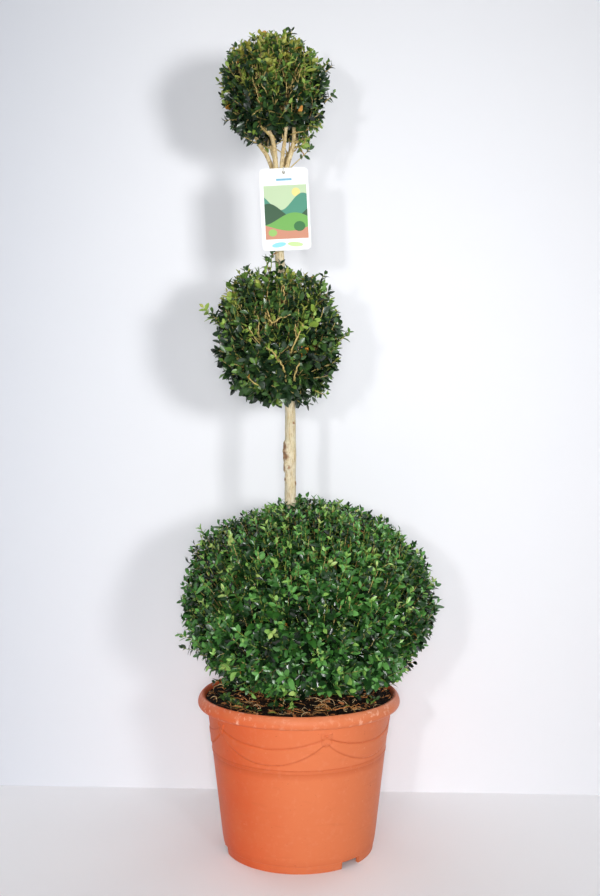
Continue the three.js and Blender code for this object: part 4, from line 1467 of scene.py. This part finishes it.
def woodOf(ball, grown, shoots, random):
    # points, corners and slots of all the twigs of a ball
    parts = []
    for ends, rootRadius, tipRadius in grown:
        paths, marks = kinkedPaths(ends, 9, foliage["woodKink"], random)
        radii = np.tile(mix(rootRadius, tipRadius, marks), (len(ends), 1))
        parts.append((*tubes(paths, radii, 5), woodNames.index("tan")))
    paths, marks = kinkedPaths(shoots, 7, foliage["kink"], random)
    radii = np.tile(mix(*ball["twigs"], marks), (len(shoots), 1))
    kinds = np.searchsorted(ball["woodShares"], random.random(len(shoots)))
    for kind in range(len(woodNames)):
        some = kinds == kind
        parts.append((*tubes(paths[some], radii[some], 3), kind))
    if ball["bareTwigs"]:
        bare = np.array([ends for ends, _, _ in ball["bareTwigs"]], float)
        paths, marks = kinkedPaths(bare, 12, 0.8, random, last=None)
        radii = np.array([mix(root, tip, marks) for _, root, tip in ball["bareTwigs"]])
        radii *= 1 + 0.2 * np.cos(marks * 24)  # swollen where leaves once grew
        parts.append((*tubes(paths, radii, 7), woodNames.index("tan")))
    return joined(parts)


def buildBall(ball):
    random = np.random.default_rng(ball["seed"])
    grown, stock = growWood(ball, random)
    shoots, ways, isOuter = growShoots(ball, random, stock)
    leaves = growLeaves(ball, random, shoots, ways, isOuter)
    name = ball["name"]
    points, corners, slots = woodOf(ball, grown, shoots, random)
    finish(triangleMesh(f"twigs_{name}", points, corners, woodMaterials, slots), "bark")
    # a ball with too many leaves for one piece is cut like a cake
    pieces = math.ceil(len(leaves["size"]) * len(leafCorners) / foliage["pieceTriangles"])
    offset = leaves["root"] - np.array(ball["centre"])
    turn = (np.arctan2(offset[:, 1], offset[:, 0]) / (2 * math.pi)) % 1
    materials = leafMaterials[ball["palette"]]
    for i in range(pieces):
        inSlice = (turn * pieces).astype(int) == i
        points, corners, slots = spreadLeaves({key: values[inSlice] for key, values in leaves.items()})
        ending = f"_{i + 1}" if pieces > 1 else ""
        piece = triangleMesh(f"leaves_{name}{ending}", points, corners, materials, slots)
        finish(piece, "foliage", *([f"ball_{name}"] if i == 0 else []))
    print(name, "ball:", len(shoots), "shoots,", len(leaves["size"]), "leaves")


for ball in balls:
    buildBall(ball)

# Soil, with what lies on it


def buildSoilBed():
    floorTop = pot["footRise"] + pot["wall"] + soil["floorGap"]
    padTop = pot["wall"] + soil["floorGap"]
    padInside = pot["padRadius"] - pot["padSlope"] / 2 - soil["floorGap"]
    profile = [(0, padTop), (padInside, padTop), (padInside + pot["padSlope"], floorTop)]
    profile += [(innerRadius(height) - soil["gap"], height) for height in (floorTop, lipFoot)]
    profile += [(soil["edgeRadius"], soil["edgeHeight"])]
    profile += [(r, float(soilHeight(r))) for r in np.linspace(soil["edgeRadius"] - 0.5, 2, soil["rings"])]
    profile += [(0, soil["heartHeight"])]
    piece = spun("soilBed", profile, soil["sides"])
    points = meshPoints(piece)
    radius = np.hypot(points[:, 0], points[:, 1])
    top = (points[:, 2] > lipFoot + 1) & (radius < soil["edgeRadius"] - 0.2)
    points[top, 2] += soilLumps(points[top, 0], points[top, 1])
    setMeshPoints(piece, points)
    made = Finish("pottingSoil", "22170f", 0.95, 0.2)
    made.layer(made.mask(mottle, Scale=160.0, Low=0.4, High=0.62), "120c07", 0.9)
    made.layer(made.mask(mottle, Scale=420.0, Low=0.56, High=0.68), "4a3320", 0.8)
    made.bump(made.mask(mottle, Scale=700.0, Low=0.3, High=0.7), 1.2 * mm, 0.9)
    piece.data.materials.append(made.material)
    pickOnly(piece)
    bpy.ops.object.shade_smooth()
    finish(piece, "soil", "potting_soil")


litter = {
    "fibreTints": ["5f3b20", "bd8750", "24160d", "e2c291", "dc9258"],
    # it is bare where the noise of the tangles is low, and the shares are of the five tints
    "fibres": [
        {
            "count": 3400,
            "tangle": 19,
            "bare": 0.26,
            "curl": 0.9,
            "length": (7, 24),
            "radius": (0.22, 0.5),
            "arch": 2.6,
            "shares": (0.34, 0.2, 0.28, 0.08, 0.1),
        },
        {
            "count": 520,
            "tangle": 24,
            "bare": 0.16,
            "curl": 2.6,
            "length": (14, 34),
            "radius": (0.5, 1.0),
            "arch": 5,
            "shares": (0.08, 0.3, 0.02, 0.24, 0.36),
        },
    ],
    # how many, smallest and largest length, thickness as a share of it, and the share of each tint
    "chips": [
        (44, 7, 12, 0.3, (0.3, 0.34, 0.24, 0.12)),
        (300, 4, 9, 0.3, (0.64, 0.22, 0.1, 0.04)),
        (2600, 1.6, 4.4, 0.6, (0.88, 0.08, 0.03, 0.01)),
    ],
    "chipTints": ["120c08", "26180f", "b26e42", "e2a67a"],
    # x, y, leaves and leaf size
    "weeds": [
        (-100, -40, 10, 9), (-93, -55, 9, 9), (-84, -70, 8, 8), (-75, -82, 7, 6), (-107, -24, 9, 8),
        (-60, -95, 5, 6), (104, -40, 7, 7), (97, -58, 5, 6), (40, 104, 8, 6), (-50, 98, 7, 6),
    ],
    "fallen": 26,
}


def litterMaterials(name, roughness):
    return [
        plainMaterial(f"{name}_{i}", code, roughness, specular=0.2)
        for i, code in enumerate(litter[f"{name}Tints"])
    ]


def onSoil(random, count, low=20, high=131):
    # even places between two radii
    radius = np.sqrt(random.uniform(low**2, high**2, count))
    turn = random.uniform(0, 2 * math.pi, count)
    return radius * np.cos(turn), radius * np.sin(turn)


def groundAt(x, y):
    return soilHeight(np.hypot(x, y)) + soilLumps(x, y)


def fibrePaths(random, kind):
    # curled coir fibres and strips of bark: paths, radii and tints
    steps = 9
    x, y = onSoil(random, kind["count"])
    # they lie in tangles, with bare soil between
    tangle = noiseAt(np.stack([x, y, 0 * x], axis=1), kind["tangle"], 6.0)
    tangled = tangle + random.normal(0, 0.12, len(x)) > kind["bare"]
    x, y = x[tangled], y[tangled]
    count = len(x)
    heading = random.uniform(0, 2 * math.pi, count)
    curl = random.normal(0, kind["curl"], count) / steps
    length = random.uniform(*kind["length"], count)
    path = np.empty((count, steps, 3))
    for i in range(steps):
        path[:, i, 0], path[:, i, 1] = x, y
        x = x + np.cos(heading) * length / steps
        y = y + np.sin(heading) * length / steps
        heading = heading + curl * random.uniform(0.4, 2.2, count)
    radius = np.hypot(path[..., 0], path[..., 1])
    kept = (radius < soil["edgeRadius"] - 0.5).all(axis=1)
    path, radius = path[kept], radius[kept]
    ground = groundAt(path[..., 0].ravel(), path[..., 1].ravel()).reshape(radius.shape)
    arch = np.sin(np.linspace(0, math.pi, steps)) * random.uniform(0, kind["arch"], (len(path), 1))
    path[..., 2] = ground + 0.5 + arch + random.uniform(-0.2, 1.2, (len(path), 1))
    thick = random.uniform(*kind["radius"], len(path))[:, None] * np.linspace(1, 0.6, steps)
    return path, thick, random.choice(len(litter["fibreTints"]), len(path), p=kind["shares"])


def buildFibres():
    random = np.random.default_rng(61)
    parts = []
    for kind in litter["fibres"]:
        path, thick, tints = fibrePaths(random, kind)
        points, corners = tubes(path, thick, 3)
        parts.append((points, corners, np.repeat(tints, len(corners) // len(path))))
    points, corners, slots = joined(parts)
    piece = triangleMesh("soilFibres", points, corners, litterMaterials("fibre", 0.8), slots)
    finish(piece, "soil")


def turnPoints(points, first, second, angle):
    # turns each lump in the plane of two of its axes
    a, b = points[..., first].copy(), points[..., second].copy()
    cosine, sine = np.cos(angle)[:, None], np.sin(angle)[:, None]
    points[..., first] = a * cosine - b * sine
    points[..., second] = a * sine + b * cosine


def buildChips():
    # bark chips and crumbs: one lump, squashed and turned differently each time
    random = np.random.default_rng(62)
    bpy.ops.object.select_all(action="DESELECT")
    bpy.ops.mesh.primitive_ico_sphere_add(subdivisions=1, radius=1)
    lump = bpy.context.object
    shape = np.array([vertex.co[:] for vertex in lump.data.vertices])
    faces = np.array([face.vertices[:] for face in lump.data.polygons])
    bpy.data.objects.remove(lump)
    parts = []
    for count, low, high, flatness, shares in litter["chips"]:
        x, y = onSoil(random, count)
        size = random.uniform(low, high, count)
        scale = np.stack([size, size * random.uniform(0.35, 0.8, count), size * flatness], axis=1) / 2
        turn, lean = random.uniform(0, 2 * math.pi, count), random.normal(0, 0.35, count)
        points = shape[None] * random.uniform(0.75, 1.25, (count, len(shape), 1)) * scale[:, None]
        turnPoints(points, 0, 2, lean)
        turnPoints(points, 0, 1, turn)
        points += np.stack([x, y, groundAt(x, y) + scale[:, 2] * 0.6], axis=1)[:, None]
        corners = (np.arange(count)[:, None, None] * len(shape) + faces[None]).reshape(-1, 3)
        slots = np.repeat(random.choice(len(shares), count, p=shares), len(faces))
        parts.append((points.reshape(-1, 3), corners, slots))
    points, corners, slots = joined(parts)
    piece = triangleMesh("soilChips", points, corners, litterMaterials("chip", 0.85), slots)
    pickOnly(piece)
    bpy.ops.object.shade_flat()
    finish(piece, "soil")


def buildSeedlings():
    # small weeds in rosettes, and a few fallen leaves
    random = np.random.default_rng(63)
    made = {key: [] for key in ("root", "along", "facing", "size", "width", "curl", "tint")}

    def addLeaf(**values):
        for key, value in values.items():
            made[key].append(value)

    for x, y, leaves, size in litter["weeds"]:
        for i in range(leaves):
            turn = i * 2.4 + random.uniform(0, 0.5)
            away = random.uniform(0, 5)
            at = np.array([x + away * math.cos(turn), y + away * math.sin(turn)])
            ground = soilHeight(np.hypot(*at)) + soilLumps(at[:1], at[1:])[0]
            addLeaf(
                root=[*at, ground + random.uniform(0.5, 4)],
                along=[math.cos(turn), math.sin(turn), random.uniform(0.2, 1.6)],
                facing=[*random.normal(0, 0.6, 2), 1],
                size=size * random.uniform(0.7, 1.2),
                width=1.1,
                curl=1.0,
                tint=random.choice([1, 2, 3, 4]),
            )
    x, y = onSoil(random, litter["fallen"], 70, 116)
    ground = groundAt(x, y) + 1.2
    for i in range(litter["fallen"]):
        turn = random.uniform(0, 2 * math.pi)
        addLeaf(
            root=[x[i], y[i], ground[i]],
            along=[math.cos(turn), math.sin(turn), random.uniform(-0.05, 0.25)],
            facing=[*random.normal(0, 0.3, 2), 1],
            size=random.uniform(8, 15),
            width=1.0,
            curl=random.uniform(0.5, 2.0),
            tint=random.choice([2, 6, 7, 7, 5]),
        )
    leaves = {key: np.array(values) for key, values in made.items()}
    points, corners, slots = spreadLeaves(leaves)
    finish(triangleMesh("soilGreens", points, corners, leafMaterials["warm"], slots), "foliage")


buildSoilBed()
buildFibres()
buildChips()
buildSeedlings()
print("soil built")

# Hanging tag, with a plain picture of hills

tag = {
    "width": 68,
    "height": 115,
    "thickness": 0.8,
    "corner": 7,
    "hole": 2.4,
    "holeDrop": 6,
    "topMiddle": (-22, -24, 961),
    "roll": 2.8,
    "picture": (-29, 31, -99, -24),  # left, right, low and high
    "ink": 0.05,  # how far the print stands proud of the card
}


def onTag(x, z, forward):
    # a point of the card, from its own x, z and how far in front of its middle
    roll = math.radians(tag["roll"])
    left, front, top = tag["topMiddle"]
    across = x * math.cos(roll) - z * math.sin(roll)
    height = top + x * math.sin(roll) + z * math.cos(roll)
    return (left + across) * mm, (front - forward) * mm, height * mm


def thinShape(name, outline, back, front, material):
    # a flat shape on the card, with a front, a back and an edge
    mesh = bpy.data.meshes.new(name)
    count = len(outline)
    points = [onTag(x, z, front) for x, z in outline] + [onTag(x, z, back) for x, z in outline]
    edge = [(i, i + count, (i + 1) % count + count, (i + 1) % count) for i in range(count)]
    mesh.from_pydata(points, [], [tuple(range(count)), tuple(range(2 * count - 1, count - 1, -1)), *edge])
    mesh.materials.append(material)
    return addPiece(name, mesh)


def roundedCard(width, low, high, corner, steps=6):
    outline = []
    for middleX, middleZ, start in (
        (width / 2 - corner, low + corner, -90),
        (width / 2 - corner, high - corner, 0),
        (corner - width / 2, high - corner, 90),
        (corner - width / 2, low + corner, 180),
    ):
        for i in range(steps + 1):
            turn = math.radians(start + 90 * i / steps)
            outline.append((middleX + corner * math.cos(turn), middleZ + corner * math.sin(turn)))
    return outline


def hill(left, right, floorLevel, height, waves, phase, steps=28):
    # a wavy band that stands on a level line
    outline = [(left, floorLevel), (right, floorLevel)]
    for i in range(steps + 1):
        share = i / steps
        wave = math.sin(waves * math.pi * share + phase)
        outline.append((mix(right, left, share), floorLevel + height * (1 + 0.35 * wave)))
    return outline


def oval(x, z, wide, high, lean=0.0, steps=24):
    turns = [2 * math.pi * i / steps for i in range(steps)]
    flat = [(wide * math.cos(t), high * math.sin(t)) for t in turns]
    c, s = math.cos(math.radians(lean)), math.sin(math.radians(lean))
    return [(x + a * c - b * s, z + a * s + b * c) for a, b in flat]


def printedShapes():
    # low hills under the sun, in plain colours, with two leaves below
    left, right, low, high = tag["picture"]
    return [
        ("header", roundedCard(22, -17.5, -14.5, 1.2), "79b4cf"),
        ("sky", [(left, low), (right, low), (right, high), (left, high)], "bdd2ab"),
        ("sun", oval(16, -34, 6, 6), "e8d98b"),
        ("farHill", hill(left, right, -80, 33, 1.9, 1.0), "4f917a"),
        ("midHill", hill(left, right, -88, 29, 1.7, 3.0), "38593f"),
        ("nearHill", hill(left, right, -95, 24, 1.3, 0.3), "70ab54"),
        ("field", hill(left, right, low, 17, 1.1, 3.3), "c78a70"),
        ("bush", oval(19, -82, 8, 7), "377340"),
        ("bushSmall", oval(-19, -90, 6, 5), "94c168"),
        ("leafBlue", oval(-11, -107, 10, 3.4, 8), "8fd5ee"),
        ("leafGreen", oval(12, -107, 11, 3.2, -6), "c3e39a"),
    ]


def cardFinish():
    made = Finish("tagCard", "f5f7f6", 0.3, 0.5)
    made.layer(made.mask(mottle, Scale=90.0, Low=0.5, High=0.75), "e9ecec", 0.5)
    made.bump(made.mask(mottle, Scale=260.0, Low=0.3, High=0.7), 0.1 * mm, 0.3)
    return made.material


def buildCard():
    half = tag["thickness"] / 2
    outline = roundedCard(tag["width"], -tag["height"], 0, tag["corner"])
    card = thinShape("tagCard", outline, -half, half, cardFinish())
    bpy.ops.object.select_all(action="DESELECT")
    bpy.ops.mesh.primitive_cylinder_add(
        vertices=32,
        radius=tag["hole"] * mm,
        depth=10 * mm,
        location=onTag(0, -tag["holeDrop"], 0),
        rotation=(math.pi / 2, 0, 0),
    )
    cutAway(card, [bpy.context.object])
    finish(card, "tag_card", "hang_tag")


def printPicture():
    half = tag["thickness"] / 2
    pieces = []
    for i, (name, outline, code) in enumerate(printedShapes()):
        # each colour lies over the last one
        front = half + tag["ink"] * (1 + 0.5 * i)
        paint = plainMaterial(f"ink_{name}", code, roughness=0.32)
        pieces.append(thinShape(name, outline, half - tag["ink"], front, paint))
    pickOnly(pieces[0])
    for piece in pieces:
        piece.select_set(True)
    bpy.ops.object.join()
    picture = bpy.context.object
    picture.name = "tagPrint"
    finish(picture, "tag_card")


def colourStrap():
    # the strap keeps its solid, with a finish of its own
    strap = Finish("tagStrap", "e4e6e2", 0.45, 0.5)
    strap.layer(strap.mask(mottle, Scale=200.0, Low=0.4, High=0.7), "cfd2cc", 0.5)
    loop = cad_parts["tag_loop"]
    loop.data.materials.clear()
    loop.data.materials.append(strap.material)


buildCard()
printPicture()
colourStrap()
print("tag built")
